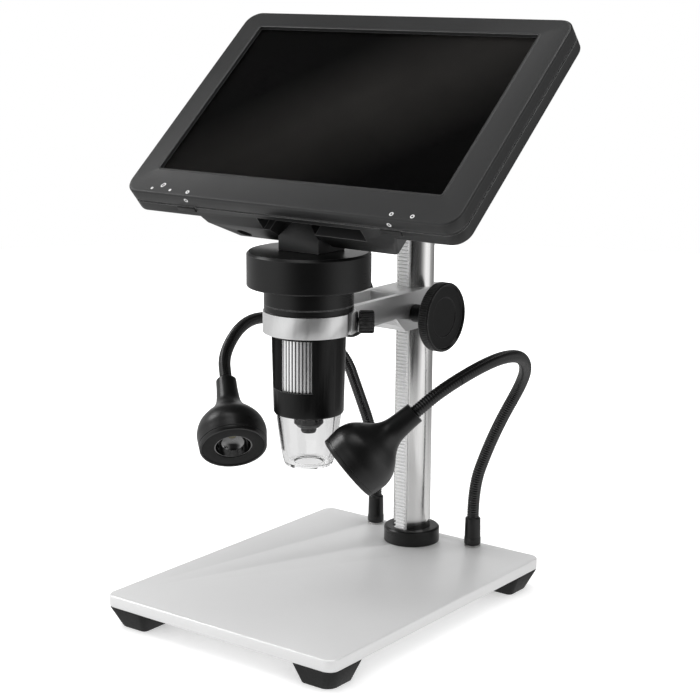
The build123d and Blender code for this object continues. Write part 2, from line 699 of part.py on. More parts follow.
def make_knob():
    """Right focus knob: ribbed rim, face dished in two steps, hub with a shaft hole."""
    dish_floor = KNOB_FACE_X - KNOB_DISH
    inner_floor = dish_floor - KNOB_INNER_DISH
    dish = KNOB_RADIUS - KNOB_RIM
    outline = toothed_outline(KNOB_RIBS, KNOB_RADIUS - KNOB_RIB_DEPTH, KNOB_RADIUS, 0.75, 0.45)
    ribbed = Pos(0, 0, knob_back) * extrude(outline, KNOB_THICKNESS)
    turned_disc = turned([
        (0, knob_back), (KNOB_RADIUS - KNOB_EDGE, knob_back), (KNOB_RADIUS, knob_back + KNOB_EDGE),
        (KNOB_RADIUS, KNOB_FACE_X - KNOB_EDGE), (KNOB_RADIUS - KNOB_EDGE, KNOB_FACE_X),
        (dish + KNOB_DISH / 2, KNOB_FACE_X), (dish, dish_floor),
        (KNOB_INNER_RADIUS, dish_floor), (KNOB_INNER_RADIUS - KNOB_INNER_DISH, inner_floor),
        (0, inner_floor),
    ])
    hub_start = ARM_HALF_WIDTH + FREE_GAP
    knob = (ribbed & turned_disc) + disc(KNOB_HUB_RADIUS, hub_start, knob_back)
    knob -= disc(SHAFT_RADIUS + FIT, hub_start, shaft_end + FIT)
    knob = Pos(0, pinion_y, pinion_z) * Rot(0, 90, 0) * knob
    return knob - set_screw(SET_SCREW_RADIUS + FIT)


def set_screw(radius):
    """Radial set screw in the right knob's hub, or its hole."""
    x = knob_back - SET_SCREW_INSET
    return disc(radius, pinion_z + SHAFT_RADIUS + FIT, pinion_z + KNOB_HUB_RADIUS, x, pinion_y)


# ---------------------------------------------------------------- microscope tube
def make_neck():
    """Sleeve in the clamp ring, neck above it and the flange that closes the top cap."""
    sleeve = RING_BORE - FIT
    flange = TOP_CAP_RADIUS - TOP_CAP_WALL - FIT
    flange_top = neck_top + NECK_FLANGE_THICKNESS
    seat = BODY_SPIGOT_RADIUS + FIT
    seat_top = body_top + BODY_SPIGOT_LENGTH + FIT
    return at_tube(turned([
        (seat, body_top), (sleeve, body_top), (sleeve, neck_shoulder),
        (NECK_RADIUS, neck_shoulder), (NECK_RADIUS, neck_top), (flange, neck_top),
        (flange, flange_top), (NECK_BORE, flange_top), (NECK_BORE, seat_top), (seat, seat_top),
    ]))


def make_top_cap():
    """Wide cup over the neck's flange."""
    inner = TOP_CAP_RADIUS - TOP_CAP_WALL
    cap = disc(TOP_CAP_RADIUS, neck_top, cap_top)
    cap = fillet(cap.edges().group_by(Axis.Z)[-1], TOP_CAP_EDGE)
    cap = chamfer(cap.edges().group_by(Axis.Z)[0], TOP_CAP_EDGE / 2)
    return at_tube(cap - disc(inner, neck_top, cap_top - TOP_CAP_WALL))


def make_body():
    """Tapered tube body with a window for the focus wheel and seats for the boards and nose."""
    seat_top = body_bottom + NOSE_SEAT
    light_seat_top = seat_top + LIGHT_BOARD_THICKNESS + RUNNING_GAP
    sensor_seat = body_top + SENSOR_SEAT_HEIGHT
    nose_seat = NOSE_TOP_RADIUS + FIT
    light_seat = LIGHT_BOARD_RADIUS + FIT
    body = turned([
        (nose_seat, body_bottom), (BODY_BOTTOM_RADIUS - BODY_EDGE / 2, body_bottom),
        (BODY_BOTTOM_RADIUS, body_bottom + BODY_EDGE), (BODY_TOP_RADIUS, body_top),
        (BODY_SPIGOT_RADIUS, body_top), (BODY_SPIGOT_RADIUS, body_top + BODY_SPIGOT_LENGTH),
        (SENSOR_SEAT_RADIUS, body_top + BODY_SPIGOT_LENGTH), (SENSOR_SEAT_RADIUS, sensor_seat),
        (BODY_BORE, sensor_seat), (BODY_BORE, cavity_top), (wheel_cavity_radius, cavity_top),
        (wheel_cavity_radius, cavity_bottom), (BODY_BORE, cavity_bottom),
        (BODY_BORE, light_seat_top), (light_seat, light_seat_top), (light_seat, seat_top),
        (nose_seat, seat_top),
    ])
    reach = BODY_TOP_RADIUS + 2
    body -= ring_sector(BODY_BORE, reach, WINDOW_OPEN_FROM, WINDOW_TO, window_bottom, window_top)
    recess = (BODY_TOP_RADIUS + BODY_BOTTOM_RADIUS) / 2 - WINDOW_RECESS
    body -= ring_sector(recess, reach, WINDOW_FROM, WINDOW_OPEN_FROM, window_bottom, window_top)
    return at_tube(body)


def ring_sector(inner, outer, start, end, bottom, top):
    """Part of a thick ring between two angles, round Z."""
    half = (outer - inner) / 2
    middle = (outer + inner) / 2
    outline = Pos(middle, 0, (bottom + top) / 2) * Rot(90, 0, 0) * Rectangle(2 * half, top - bottom)
    return Rot(0, 0, start) * revolve(outline, Axis.Z, end - start)


def make_wheel():
    """Ribbed focus wheel."""
    bottom = cavity_bottom + FREE_GAP
    top = cavity_top - FREE_GAP
    outline = toothed_outline(WHEEL_RIBS, WHEEL_RADIUS - WHEEL_RIB_DEPTH, WHEEL_RADIUS,
                              WHEEL_RIB_SHARE + 0.08, WHEEL_RIB_SHARE - 0.08)
    wheel = Pos(0, 0, bottom) * extrude(outline, top - bottom)
    return at_tube(wheel - disc(WHEEL_BORE, bottom, top))


def make_lens_barrel():
    """Lens carrier that the wheel moves up and down, with the barrel below it."""
    carrier_bottom = (cavity_bottom + cavity_top - LENS_CARRIER_LENGTH) / 2
    carrier_top = carrier_bottom + LENS_CARRIER_LENGTH
    end = body_bottom - LENS_BARREL_REACH
    tip = end - LENS_TIP_LENGTH
    glass_seat = tip + LENS_GLASS_THICKNESS + LENS_TIP_LENGTH / 4
    glass = LENS_GLASS_RADIUS + FIT
    tip_bevel = LENS_TIP_LENGTH / 3
    return at_tube(turned([
        (glass, tip), (LENS_TIP_RADIUS - tip_bevel / 2, tip), (LENS_TIP_RADIUS, tip + tip_bevel),
        (LENS_TIP_RADIUS, end), (LENS_BARREL_RADIUS - LENS_BARREL_BEVEL, end),
        (LENS_BARREL_RADIUS, end + LENS_BARREL_BEVEL), (LENS_BARREL_RADIUS, carrier_bottom),
        (LENS_CARRIER_RADIUS, carrier_bottom), (LENS_CARRIER_RADIUS, carrier_top),
        (LENS_TIP_RADIUS, carrier_top), (LENS_GLASS_RADIUS / 2, glass_seat), (glass, glass_seat),
    ]))


def make_lens():
    """Objective lens in the barrel's tip, bulged on its lower face."""
    bottom = body_bottom - LENS_BARREL_REACH - LENS_TIP_LENGTH * 3 / 4
    lens = disc(LENS_GLASS_RADIUS, bottom, bottom + LENS_GLASS_THICKNESS)
    return at_tube(fillet(lens.edges().group_by(Axis.Z)[0], LENS_GLASS_THICKNESS / 2))


def make_sensor_board():
    """Round board with the image sensor on its lower face."""
    bottom = body_top + SENSOR_SEAT_HEIGHT
    half = SENSOR_SIDE / 2
    board = disc(SENSOR_SEAT_RADIUS - FIT, bottom, bottom + BOARD_THICKNESS)
    return at_tube(board + block(-half, half, -half, half, bottom - SENSOR_THICKNESS, bottom))


def make_light_board():
    """Ring board with the lamps that light the specimen through the nose."""
    bottom = body_bottom + NOSE_SEAT + RUNNING_GAP
    board = disc(LIGHT_BOARD_RADIUS, bottom, bottom + LIGHT_BOARD_THICKNESS)
    board -= disc(LIGHT_BOARD_BORE, bottom, bottom + LIGHT_BOARD_THICKNESS)
    half = LIGHT_SIDE / 2
    chip = block(LIGHT_CIRCLE - half, LIGHT_CIRCLE + half, -half, half, bottom - LIGHT_THICKNESS, bottom)
    for i in range(LIGHT_COUNT):
        board += Rot(0, 0, 360 / LIGHT_COUNT * (i + 0.5)) * chip
    return at_tube(board)


def make_nose():
    """Clear cone that slips into the body, with a hole for the view at its end."""
    top = body_bottom + NOSE_SEAT
    knee = body_bottom - NOSE_KNEE_LENGTH
    end = body_bottom - NOSE_LENGTH
    floor_z = end + NOSE_WALL
    return at_tube(turned([
        (NOSE_WINDOW_RADIUS, end), (NOSE_END_RADIUS - NOSE_WALL / 2, end),
        (NOSE_END_RADIUS, floor_z), (NOSE_KNEE_RADIUS, knee), (NOSE_TOP_RADIUS, body_bottom),
        (NOSE_TOP_RADIUS, top), (NOSE_TOP_RADIUS - NOSE_WALL, top),
        (NOSE_TOP_RADIUS - NOSE_WALL, body_bottom), (NOSE_KNEE_RADIUS - NOSE_WALL, knee),
        (NOSE_END_RADIUS - NOSE_WALL, floor_z), (NOSE_WINDOW_RADIUS, floor_z),
    ]))


# ---------------------------------------------------------------- screen hinge
def make_hinge_block():
    """House-shaped block on the cap with a tongue for the hinge pin."""
    half = HINGE_WIDTH / 2
    tongue = HINGE_TONGUE / 2
    eaves = cap_top + HINGE_BLOCK_HEIGHT
    shoulder = eaves + half - tongue
    top = pivot_z + HINGE_TONGUE_RADIUS
    front = [(-half, cap_top), (half, cap_top), (half, eaves), (tongue, shoulder), (tongue, top),
             (-tongue, top), (-tongue, shoulder), (-half, eaves)]
    face = make_face(Polyline(*[(x, pivot_y, z) for x, z in front], close=True))
    house = extrude(face, HINGE_DEPTH, dir=(0, 1, 0), both=True)
    fore = pivot_y - HINGE_DEPTH / 2
    aft = pivot_y + HINGE_DEPTH / 2
    side = side_plate([
        (fore, cap_top), (aft, cap_top), (aft, eaves), (pivot_y + HINGE_TONGUE_RADIUS, pivot_z),
        (pivot_y - HINGE_TONGUE_RADIUS, pivot_z), (fore, eaves),
    ], half)
    side += rod_x(HINGE_TONGUE_RADIUS, -half, half, pivot_y, pivot_z)
    return (house & side) - rod_x(PIN_RADIUS + FIT, -half, half, pivot_y, pivot_z)


cheek_inner = HINGE_TONGUE / 2 + FREE_GAP
cheek_outer = cheek_inner + CHEEK_THICKNESS


def make_knuckle():
    """Two cheeks on a plate at the bottom of the screen's recess, in screen coordinates."""
    back = -RECESS_FLOOR
    plate = block(-cheek_outer, cheek_outer, pivot_on_screen_y - CHEEK_RADIUS,
                  pivot_on_screen_y + CHEEK_RADIUS, back - KNUCKLE_PLATE, back)
    for side in (-1, 1):
        x0, x1 = sorted((side * cheek_inner, side * cheek_outer))
        plate += block(x0, x1, pivot_on_screen_y - CHEEK_RADIUS, pivot_on_screen_y + CHEEK_RADIUS,
                       -PIVOT_DEPTH, back)
        plate += rod_x(CHEEK_RADIUS, x0, x1, pivot_on_screen_y, -PIVOT_DEPTH)
    return plate - rod_x(PIN_RADIUS + FIT, -cheek_outer, cheek_outer, pivot_on_screen_y, -PIVOT_DEPTH)


def make_pin():
    """Hinge pin through both cheeks and the tongue."""
    return rod_x(PIN_RADIUS, -cheek_outer, cheek_outer, pivot_y, pivot_z)


# ---------------------------------------------------------------- screen case
screen_bottom = -SCREEN_HEIGHT / 2
screw_x = SCREEN_WIDTH / 2 - CASE_SCREW_SIDE_INSET
screw_y = SCREEN_HEIGHT / 2 - CASE_SCREW_END_INSET
screw_places = [(sx * screw_x, sy * screw_y) for sx in (-1, 1) for sy in (-1, 1)]
opening_width = SCREEN_WIDTH - BORDER_LEFT - BORDER_RIGHT
opening_height = SCREEN_HEIGHT - BORDER_TOP - BORDER_BOTTOM
opening_x = (BORDER_LEFT - BORDER_RIGHT) / 2
opening_y = (BORDER_BOTTOM - BORDER_TOP) / 2


def opening_slab(margin, corner, z0, z1):
    """Slab with the display opening's outline, grown by a margin."""
    return rounded_slab(opening_width + 2 * margin, opening_height + 2 * margin, corner, z0, z1,
                        opening_x, opening_y)


def make_bezel():
    """Front frame with a lip round the display opening and a pocket behind."""
    bezel = rounded_slab(SCREEN_WIDTH, SCREEN_HEIGHT, SCREEN_CORNER, -BEZEL_DEPTH, 0)
    bezel = fillet(bezel.faces().sort_by(Axis.Z)[-1].edges(), BEZEL_EDGE)
    bezel += opening_slab(LIP_WIDTH, OPENING_CORNER + LIP_WIDTH, -BEZEL_FRONT / 2, LIP_HEIGHT)
    bezel -= opening_slab(0, OPENING_CORNER, -BEZEL_DEPTH, 2 * LIP_HEIGHT)
    bezel -= rounded_slab(SCREEN_WIDTH - 2 * CASE_WALL, SCREEN_HEIGHT - 2 * CASE_WALL,
                          SCREEN_CORNER - CASE_WALL, -BEZEL_DEPTH, -BEZEL_FRONT)
    for x, y in screw_places:
        bezel += disc(CASE_POST_RADIUS, -BEZEL_DEPTH, -BEZEL_FRONT, x, y)
        bezel -= disc(CASE_SCREW_RADIUS + FIT, -BEZEL_DEPTH, -BEZEL_DEPTH + CASE_SCREW_BITE + FIT, x, y)
    return bezel


def hump_section(depth, rise):
    """Outline of the rear hump at one depth behind the front face."""
    inwards = (depth - SHELL_DEPTH) * HUMP_SIDE_SLOPE
    left = HUMP_LEFT + inwards
    right = HUMP_RIGHT - inwards
    top = HUMP_TOP - (depth - SHELL_DEPTH) * HUMP_TOP_SLOPE
    bottom = screen_bottom + rise
    outline = Rectangle(right - left, top - bottom)
    outline = fillet(outline.vertices().group_by(Axis.Y)[-1], HUMP_CORNER)
    outline = fillet(outline.vertices().group_by(Axis.Y)[0], HUMP_FOOT_CORNER)
    return Pos((left + right) / 2, (top + bottom) / 2, -depth) * outline


def make_shell():
    """Back shell: flat tray, rear hump, hinge recess and notch, battery bay, openings in its walls."""
    seam_end = -BEZEL_DEPTH - SEAM_WIDTH
    shell = rounded_slab(SCREEN_WIDTH, SCREEN_HEIGHT, SCREEN_CORNER, -SHELL_DEPTH, seam_end)
    shell = fillet(shell.faces().sort_by(Axis.Z)[0].edges(), CASE_BACK_EDGE)
    shell += rounded_slab(SCREEN_WIDTH - 2 * SEAM_DEPTH, SCREEN_HEIGHT - 2 * SEAM_DEPTH,
                          SCREEN_CORNER - SEAM_DEPTH, seam_end, -BEZEL_DEPTH)
    root_depth = SHELL_DEPTH - CASE_BACK_EDGE
    shell += loft([hump_section(root_depth, 0), hump_section(HUMP_STEP_DEPTH, 0)], ruled=True)
    shell += loft([hump_section(HUMP_STEP_DEPTH, 0), hump_section(HUMP_DEPTH, HUMP_FOOT_RISE)], ruled=True)
    shell -= rounded_slab(SCREEN_WIDTH - 2 * CASE_WALL, SCREEN_HEIGHT - 2 * CASE_WALL,
                          SCREEN_CORNER - CASE_WALL, -SHELL_DEPTH + CASE_BACK_WALL, -BEZEL_DEPTH)
    floor_front = -RECESS_FLOOR + CASE_BACK_WALL
    margin = CASE_BACK_WALL
    recess_right = SCREEN_WIDTH / 2 - RECESS_RIGHT_INSET
    shell += block(RECESS_LEFT - margin, recess_right + margin, screen_bottom + CASE_WALL / 2,
                   RECESS_TOP + margin, -SHELL_DEPTH, floor_front)
    shell -= block(RECESS_LEFT, recess_right, 2 * screen_bottom, RECESS_TOP, -HUMP_STEP_DEPTH, -RECESS_FLOOR)
    notch = HINGE_WIDTH / 2 + NOTCH_GAP
    shell -= block(-notch, notch, 2 * screen_bottom, RECESS_TOP, -2 * HUMP_DEPTH, -RECESS_FLOOR)
    shell -= cable_hole()
    shell -= battery_bay()
    shell -= block(-SCREEN_WIDTH, -SCREEN_WIDTH / 2 + 2 * CASE_WALL, *socket_span())
    for side in (-1, 1):
        shell -= key_slot(side)
    for x, y in screw_places:
        shell += disc(CASE_POST_RADIUS, -SHELL_DEPTH + CASE_BACK_WALL, -BEZEL_DEPTH, x, y)
        shell -= disc(CASE_SCREW_RADIUS + FIT, -SHELL_DEPTH, -BEZEL_DEPTH, x, y)
        shell -= disc(CASE_SCREW_HEAD + FIT, -SHELL_DEPTH, -SHELL_DEPTH + CASE_SCREW_HEAD_HEIGHT, x, y)
    return shell


def cable_hole():
    """Round hole in the sloping underside of the hump."""
    share = (CABLE_HOLE_Z - HUMP_STEP_DEPTH) / (HUMP_DEPTH - HUMP_STEP_DEPTH)
    surface = screen_bottom + HUMP_FOOT_RISE * share
    return rod_y(CABLE_HOLE_RADIUS, screen_bottom, surface + CABLE_HOLE_DEPTH, CABLE_HOLE_X, -CABLE_HOLE_Z)


def battery_bay():
    """Bay for the round cell, open to the front of the shell."""
    half = BATTERY_LENGTH / 2 + FREE_GAP
    radius = BATTERY_RADIUS + FIT
    centre = battery_centre_depth()
    bay = block(-half, half, BATTERY_Y - radius, BATTERY_Y + radius, -centre, -BEZEL_DEPTH)
    return bay + rod_x(radius, -half, half, BATTERY_Y, -centre)


def battery_centre_depth():
    """Depth of the cell's axis: it lies just behind the display panel."""
    return panel_back() + BOARD_BEHIND_PANEL + BATTERY_RADIUS


def panel_back():
    """Depth of the display panel's back face."""
    return BEZEL_FRONT + GLASS_THICKNESS + PANEL_THICKNESS


def make_glass():
    """Cover glass behind the opening."""
    return opening_slab(GLASS_MARGIN, OPENING_CORNER, -BEZEL_FRONT - GLASS_THICKNESS, -BEZEL_FRONT)


def make_panel():
    """Display panel behind the glass."""
    return opening_slab(PANEL_MARGIN, OPENING_CORNER, -panel_back(), -BEZEL_FRONT - GLASS_THICKNESS)


def make_battery():
    """Round lithium cell with its contact at the right end."""
    half = BATTERY_LENGTH / 2
    depth = -battery_centre_depth()
    cell = rod_x(BATTERY_RADIUS, -half, half - 1, BATTERY_Y, depth)
    return cell + rod_x(BATTERY_RADIUS / 3, half - 1, half, BATTERY_Y, depth)


board_left = -SCREEN_WIDTH / 2 + CASE_WALL + BOARD_LEFT_GAP
board_back = panel_back() + BOARD_BEHIND_PANEL + MAIN_BOARD_THICKNESS


def make_main_board():
    """Main board in the left half of the case."""
    return block(board_left, board_left + BOARD_WIDTH, BOARD_Y - BOARD_HEIGHT / 2,
                 BOARD_Y + BOARD_HEIGHT / 2, -board_back, -board_back + MAIN_BOARD_THICKNESS)


def socket_span(clearance=FREE_GAP):
    """Y and Z limits of the charging socket, grown by a clearance."""
    half = SOCKET_WIDTH / 2 + clearance
    return (SOCKET_Y - half, SOCKET_Y + half, -board_back - SOCKET_THICKNESS - clearance,
            -board_back + clearance)


def make_socket():
    """Charging socket: metal mouth on the main board, reaching through the left wall."""
    start = -SCREEN_WIDTH / 2 + CASE_WALL / 2
    y0, y1, z0, z1 = socket_span(0)
    body = block(start, start + SOCKET_LENGTH, y0, y1, z0, z1)
    wall = SOCKET_THICKNESS / 6
    mouth = block(start, start + SOCKET_LENGTH * 2 / 3, y0 + wall, y1 - wall, z0 + wall, z1 - wall)
    return body - mouth


def make_case_screws():
    """Screws that hold the shell to the bezel."""
    head_top = -SHELL_DEPTH + CASE_SCREW_HEAD_HEIGHT
    screws = []
    for x, y in screw_places:
        screw = disc(CASE_SCREW_HEAD, -SHELL_DEPTH, head_top, x, y)
        screw += disc(CASE_SCREW_RADIUS, head_top, -BEZEL_DEPTH + CASE_SCREW_BITE, x, y)
        screws.append(on_screen(screw))
    return group(screws)


# ---------------------------------------------------------------- keys
key_x = SCREEN_WIDTH / 2 - KEY_INSET


def key_slot(side):
    """Opening for a key in the case's lower wall."""
    half = KEY_LENGTH / 2 + KEY_CLEARANCE
    half_width = KEY_WIDTH / 2 + KEY_CLEARANCE
    return block(side * key_x - half, side * key_x + half, 2 * screen_bottom,
                 screen_bottom + CASE_WALL, -KEY_DEPTH - half_width, -KEY_DEPTH + half_width)


def make_key(side):
    """Push key with a flange inside the wall."""
    x = side * key_x
    inner = screen_bottom + CASE_WALL + RUNNING_GAP
    half = KEY_LENGTH / 2
    key = block(x - half, x + half, screen_bottom - KEY_PROUD, inner,
                -KEY_DEPTH - KEY_WIDTH / 2, -KEY_DEPTH + KEY_WIDTH / 2)
    outer = [edge for edge in key.edges().group_by(Axis.Y)[0]]
    key = chamfer(outer, KEY_PROUD / 2)
    flange = block(x - half - KEY_FLANGE, x + half + KEY_FLANGE, inner, inner + KEY_FLANGE,
                   -KEY_DEPTH - KEY_WIDTH / 2 - KEY_CLEARANCE, -KEY_DEPTH + KEY_WIDTH / 2 + KEY_CLEARANCE)
    return key + flange


# ---------------------------------------------------------------- gooseneck lamps
def route_points(drop):
    """Corner points of a gooseneck on the right, from the sleeve to the end of a lamp's neck."""
    foot = Vector(ARM_X, arm_y, stage_top)
    neck_end = lamp_neck_end - Vector(0, 0, drop)
    return [foot + Vector(*point) for point in ROUTE] + [neck_end + lamp_axis * LAST_RUN, neck_end]


def bend_radii(points):
    """Radius of each bend: as large as its two runs allow."""
    radii = []
    for before, corner, after in zip(points, points[1:], points[2:]):
        turn = radians((corner - before).get_angle(after - corner))
        shorter = min((corner - before).length, (after - corner).length)
        radii.append(ROUND_SHARE * shorter / tan(turn / 2))
    return radii


def tube_along(path, radius):
    """Round bar along a path."""
    section = Plane(origin=path @ 0, z_dir=path % 0) * Circle(radius)
    return sweep(section, path=path)


def flex_start(points):
    """Point just before the last bend, where the flexing end takes over."""
    before, last_bend = points[-3:-1]
    reach = ROUND_SHARE * min((before - last_bend).length, LAST_RUN) + FLEX_LEAD
    return last_bend + (before - last_bend).normalized() * reach


def make_gooseneck(drop):
    """Sleeve on its stud and the gooseneck up to its flexing end."""
    points = route_points(drop)
    radii = bend_radii(points)
    print("gooseneck bend radii", [round(radius, 1) for radius in radii])
    path = FilletPolyline(*points[:-2], flex_start(points), radius=radii[:-1])
    sleeve_bottom = stage_top + STUD_FLANGE + RUNNING_GAP
    sleeve_top = stage_top + SLEEVE_TOP
    pin = STUD_PIN_RADIUS + FIT
    pin_top = stage_top + STUD_FLANGE + STUD_PIN_LENGTH + RUNNING_GAP
    sleeve = turned([
        (pin, sleeve_bottom), (SLEEVE_BOTTOM_RADIUS - SLEEVE_EDGE, sleeve_bottom),
        (SLEEVE_BOTTOM_RADIUS, sleeve_bottom + SLEEVE_EDGE),
        (SLEEVE_TOP_RADIUS, sleeve_top - SLEEVE_EDGE), (SLEEVE_TOP_RADIUS - SLEEVE_EDGE, sleeve_top),
        (0, sleeve_top), (0, pin_top), (pin, pin_top),
    ])
    return tube_along(path, NECK_TUBE_RADIUS) + Pos(ARM_X, arm_y, 0) * sleeve


def make_flex_end(drop):
    """Last stretch of the gooseneck, which bends when the lamp is aimed."""
    points = route_points(drop)
    held = points[-1] - lamp_axis * LAMP_INSERT
    path = FilletPolyline(flex_start(points), points[-2], held, radius=bend_radii(points)[-1])
    return tube_along(path, NECK_TUBE_RADIUS)


def make_stud():
    """Stud through the plate, on which the sleeve turns."""
    stud = turned([
        (0, FOOT_HEIGHT - NUT_THICKNESS), (STUD_RADIUS, FOOT_HEIGHT - NUT_THICKNESS),
        (STUD_RADIUS, stage_top), (STUD_FLANGE_RADIUS, stage_top),
        (STUD_FLANGE_RADIUS, stage_top + STUD_FLANGE), (STUD_PIN_RADIUS, stage_top + STUD_FLANGE),
        (STUD_PIN_RADIUS, stage_top + STUD_FLANGE + STUD_PIN_LENGTH),
        (0, stage_top + STUD_FLANGE + STUD_PIN_LENGTH),
    ])
    return Pos(ARM_X, arm_y, 0) * stud


def make_nut():
    """Hexagon nut under the plate."""
    outline = RegularPolygon(NUT_WIDTH / 2, 6, major_radius=False)
    nut = Pos(0, 0, FOOT_HEIGHT - NUT_THICKNESS) * extrude(outline, NUT_THICKNESS)
    nut -= disc(STUD_RADIUS + FIT, 0, FOOT_HEIGHT)
    return Pos(ARM_X, arm_y, 0) * nut


def make_lamp_shell():
    """Bell-shaped lamp head with a neck that holds the gooseneck."""
    outer = Spline(
        (LAMP_RIM_RADIUS, 0, 0),
        (LAMP_BELLY_RADIUS, 0, LAMP_BELLY),
        (LAMP_SHOULDER_RADIUS, 0, LAMP_SHOULDER),
        (LAMP_WAIST_RADIUS, 0, LAMP_WAIST),
        (LAMP_NECK_RADIUS, 0, LAMP_LENGTH),
        tangents=[(0.1, 0, 1), (0, 0, 1)],
    )
    ring_seat = LAMP_RING_INSET + LAMP_RING_THICKNESS
    ring_radius = LAMP_RIM_RADIUS - LAMP_WALL
    tube_hole = NECK_TUBE_RADIUS + FIT
    insert = LAMP_LENGTH - LAMP_INSERT
    inner = Polyline(
        (LAMP_NECK_RADIUS, 0, LAMP_LENGTH), (tube_hole, 0, LAMP_LENGTH), (tube_hole, 0, insert),
        (LAMP_WIRE_RADIUS, 0, insert), (LAMP_WIRE_RADIUS, 0, LAMP_LED_SEAT),
        (LAMP_CAVITY_RADIUS, 0, LAMP_LED_SEAT), (LAMP_CAVITY_RADIUS, 0, ring_seat),
        (ring_radius, 0, ring_seat), (ring_radius, 0, 0), (LAMP_RIM_RADIUS, 0, 0),
    )
    return on_lamp(revolve(make_face([outer, inner]), Axis.Z))


def make_lamp_ring():
    """Flat face ring round the reflector."""
    top = LAMP_RING_INSET + LAMP_RING_THICKNESS
    ring = disc(LAMP_RIM_RADIUS - LAMP_WALL - FIT, LAMP_RING_INSET, top)
    return on_lamp(ring - disc(REFLECTOR_RADIUS + FIT, LAMP_RING_INSET, top))


def make_reflector():
    """Thin polished bowl from the LED board out to the face ring."""
    deep = LAMP_LED_SEAT - LED_BOARD_THICKNESS
    wall = REFLECTOR_WALL
    shallow = LAMP_RING_INSET + LAMP_RING_THICKNESS / 3
    rim = REFLECTOR_RADIUS - wall
    bulge_radius = REFLECTOR_THROAT + 0.74 * (rim - REFLECTOR_THROAT)
    bulge = deep - 0.42 * (deep - shallow)
    inside = Spline((REFLECTOR_THROAT, 0, deep), (bulge_radius, 0, bulge), (rim, 0, shallow))
    outside = Spline((REFLECTOR_RADIUS, 0, shallow), (bulge_radius + wall, 0, bulge),
                     (REFLECTOR_THROAT + wall, 0, deep))
    rim_edge = Line((rim, 0, shallow), (REFLECTOR_RADIUS, 0, shallow))
    throat_edge = Line((REFLECTOR_THROAT + wall, 0, deep), (REFLECTOR_THROAT, 0, deep))
    return on_lamp(revolve(make_face([inside, rim_edge, outside, throat_edge]), Axis.Z))


def make_led():
    """LED board on its seat with the domed emitter."""
    seat = LAMP_LED_SEAT
    board_top = seat - LED_BOARD_THICKNESS
    dome_tip = board_top - LED_HEIGHT
    board = disc(LAMP_CAVITY_RADIUS - FIT, board_top, seat)
    dome = disc(LED_RADIUS, dome_tip, board_top)
    dome = fillet(dome.edges().group_by(Axis.Z)[0], LED_RADIUS * 0.7)
    return on_lamp(board + dome)


# ---------------------------------------------------------------- write the nodes
save("stage_plate", make_plate())
for foot_name, (side_x, side_y) in zip(foot_names, foot_places):
    save(foot_name, to_corner(make_foot(), side_x, side_y))
save("foot_screws", group(to_corner(make_foot_screw(), sx, sy) for sx, sy in foot_places))
save("column_rod", make_column())
save("column_rack", make_rack())
save("column_collar", make_collar())
save("column_bolt", Pos(0, column_y, 0) * turned(column_bolt_outline(0)))
save("column_cap", make_column_cap())

save("clamp_bracket", make_bracket())
save("tension_pad", make_tension_pad())
save("tension_screw", make_tension_screw())
save("clamp_screw_head", make_clamp_head())
save("clamp_screw_shank", make_clamp_shank())
save("clamp_washer", make_clamp_washer())

save("pinion_shaft", make_shaft())
save("pinion_gear", make_pinion())
save("right_focus_knob", make_knob())
save("left_focus_knob", mirrored(make_knob()))
right_set_screw = set_screw(SET_SCREW_RADIUS)
save("knob_set_screws", group([right_set_screw, mirrored(right_set_screw)]))

save("tube_neck", make_neck())
save("top_cap", make_top_cap())
save("tube_body", make_body())
save("focus_wheel", make_wheel())
save("lens_barrel", make_lens_barrel())
save("objective_lens", make_lens())
save("sensor_board", make_sensor_board())
save("light_ring_board", make_light_board())
save("nose_cone", make_nose())

save("hinge_block", make_hinge_block())
save("hinge_knuckle", on_screen(make_knuckle()))
save("hinge_pin", make_pin())
save("screen_bezel", on_screen(make_bezel()))
save("screen_back_shell", on_screen(make_shell()))
save("cover_glass", on_screen(make_glass()))
save("display_panel", on_screen(make_panel()))
save("battery_cell", on_screen(make_battery()))
save("main_board", on_screen(make_main_board()))
save("charging_socket", on_screen(make_socket()))
save("case_screws", make_case_screws())
save("left_key", on_screen(make_key(-1)))
save("right_key", on_screen(make_key(1)))

for side_name, drop in (("right", 0), ("left", LEFT_LAMP_DROP)):
    lower = Pos(0, 0, -drop)
    lamp_pieces = {
        "arm_stud": make_stud(),
        "gooseneck": make_gooseneck(drop),
        "flex_end": make_flex_end(drop),
        "lamp_shell": lower * make_lamp_shell(),
        "lamp_ring": lower * make_lamp_ring(),
        "lamp_reflector": lower * make_reflector(),
        "lamp_led": lower * make_led(),
    }
    for piece_name, piece in lamp_pieces.items():
        save(f"{side_name}_{piece_name}", piece if side_name == "right" else mirrored(piece))
right_nut = make_nut()
save("arm_nuts", group([right_nut, mirrored(right_nut)]))
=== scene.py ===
from math import cos, pi, radians, sin, tan

import bmesh
import bpy
from mathutils import Matrix, Vector


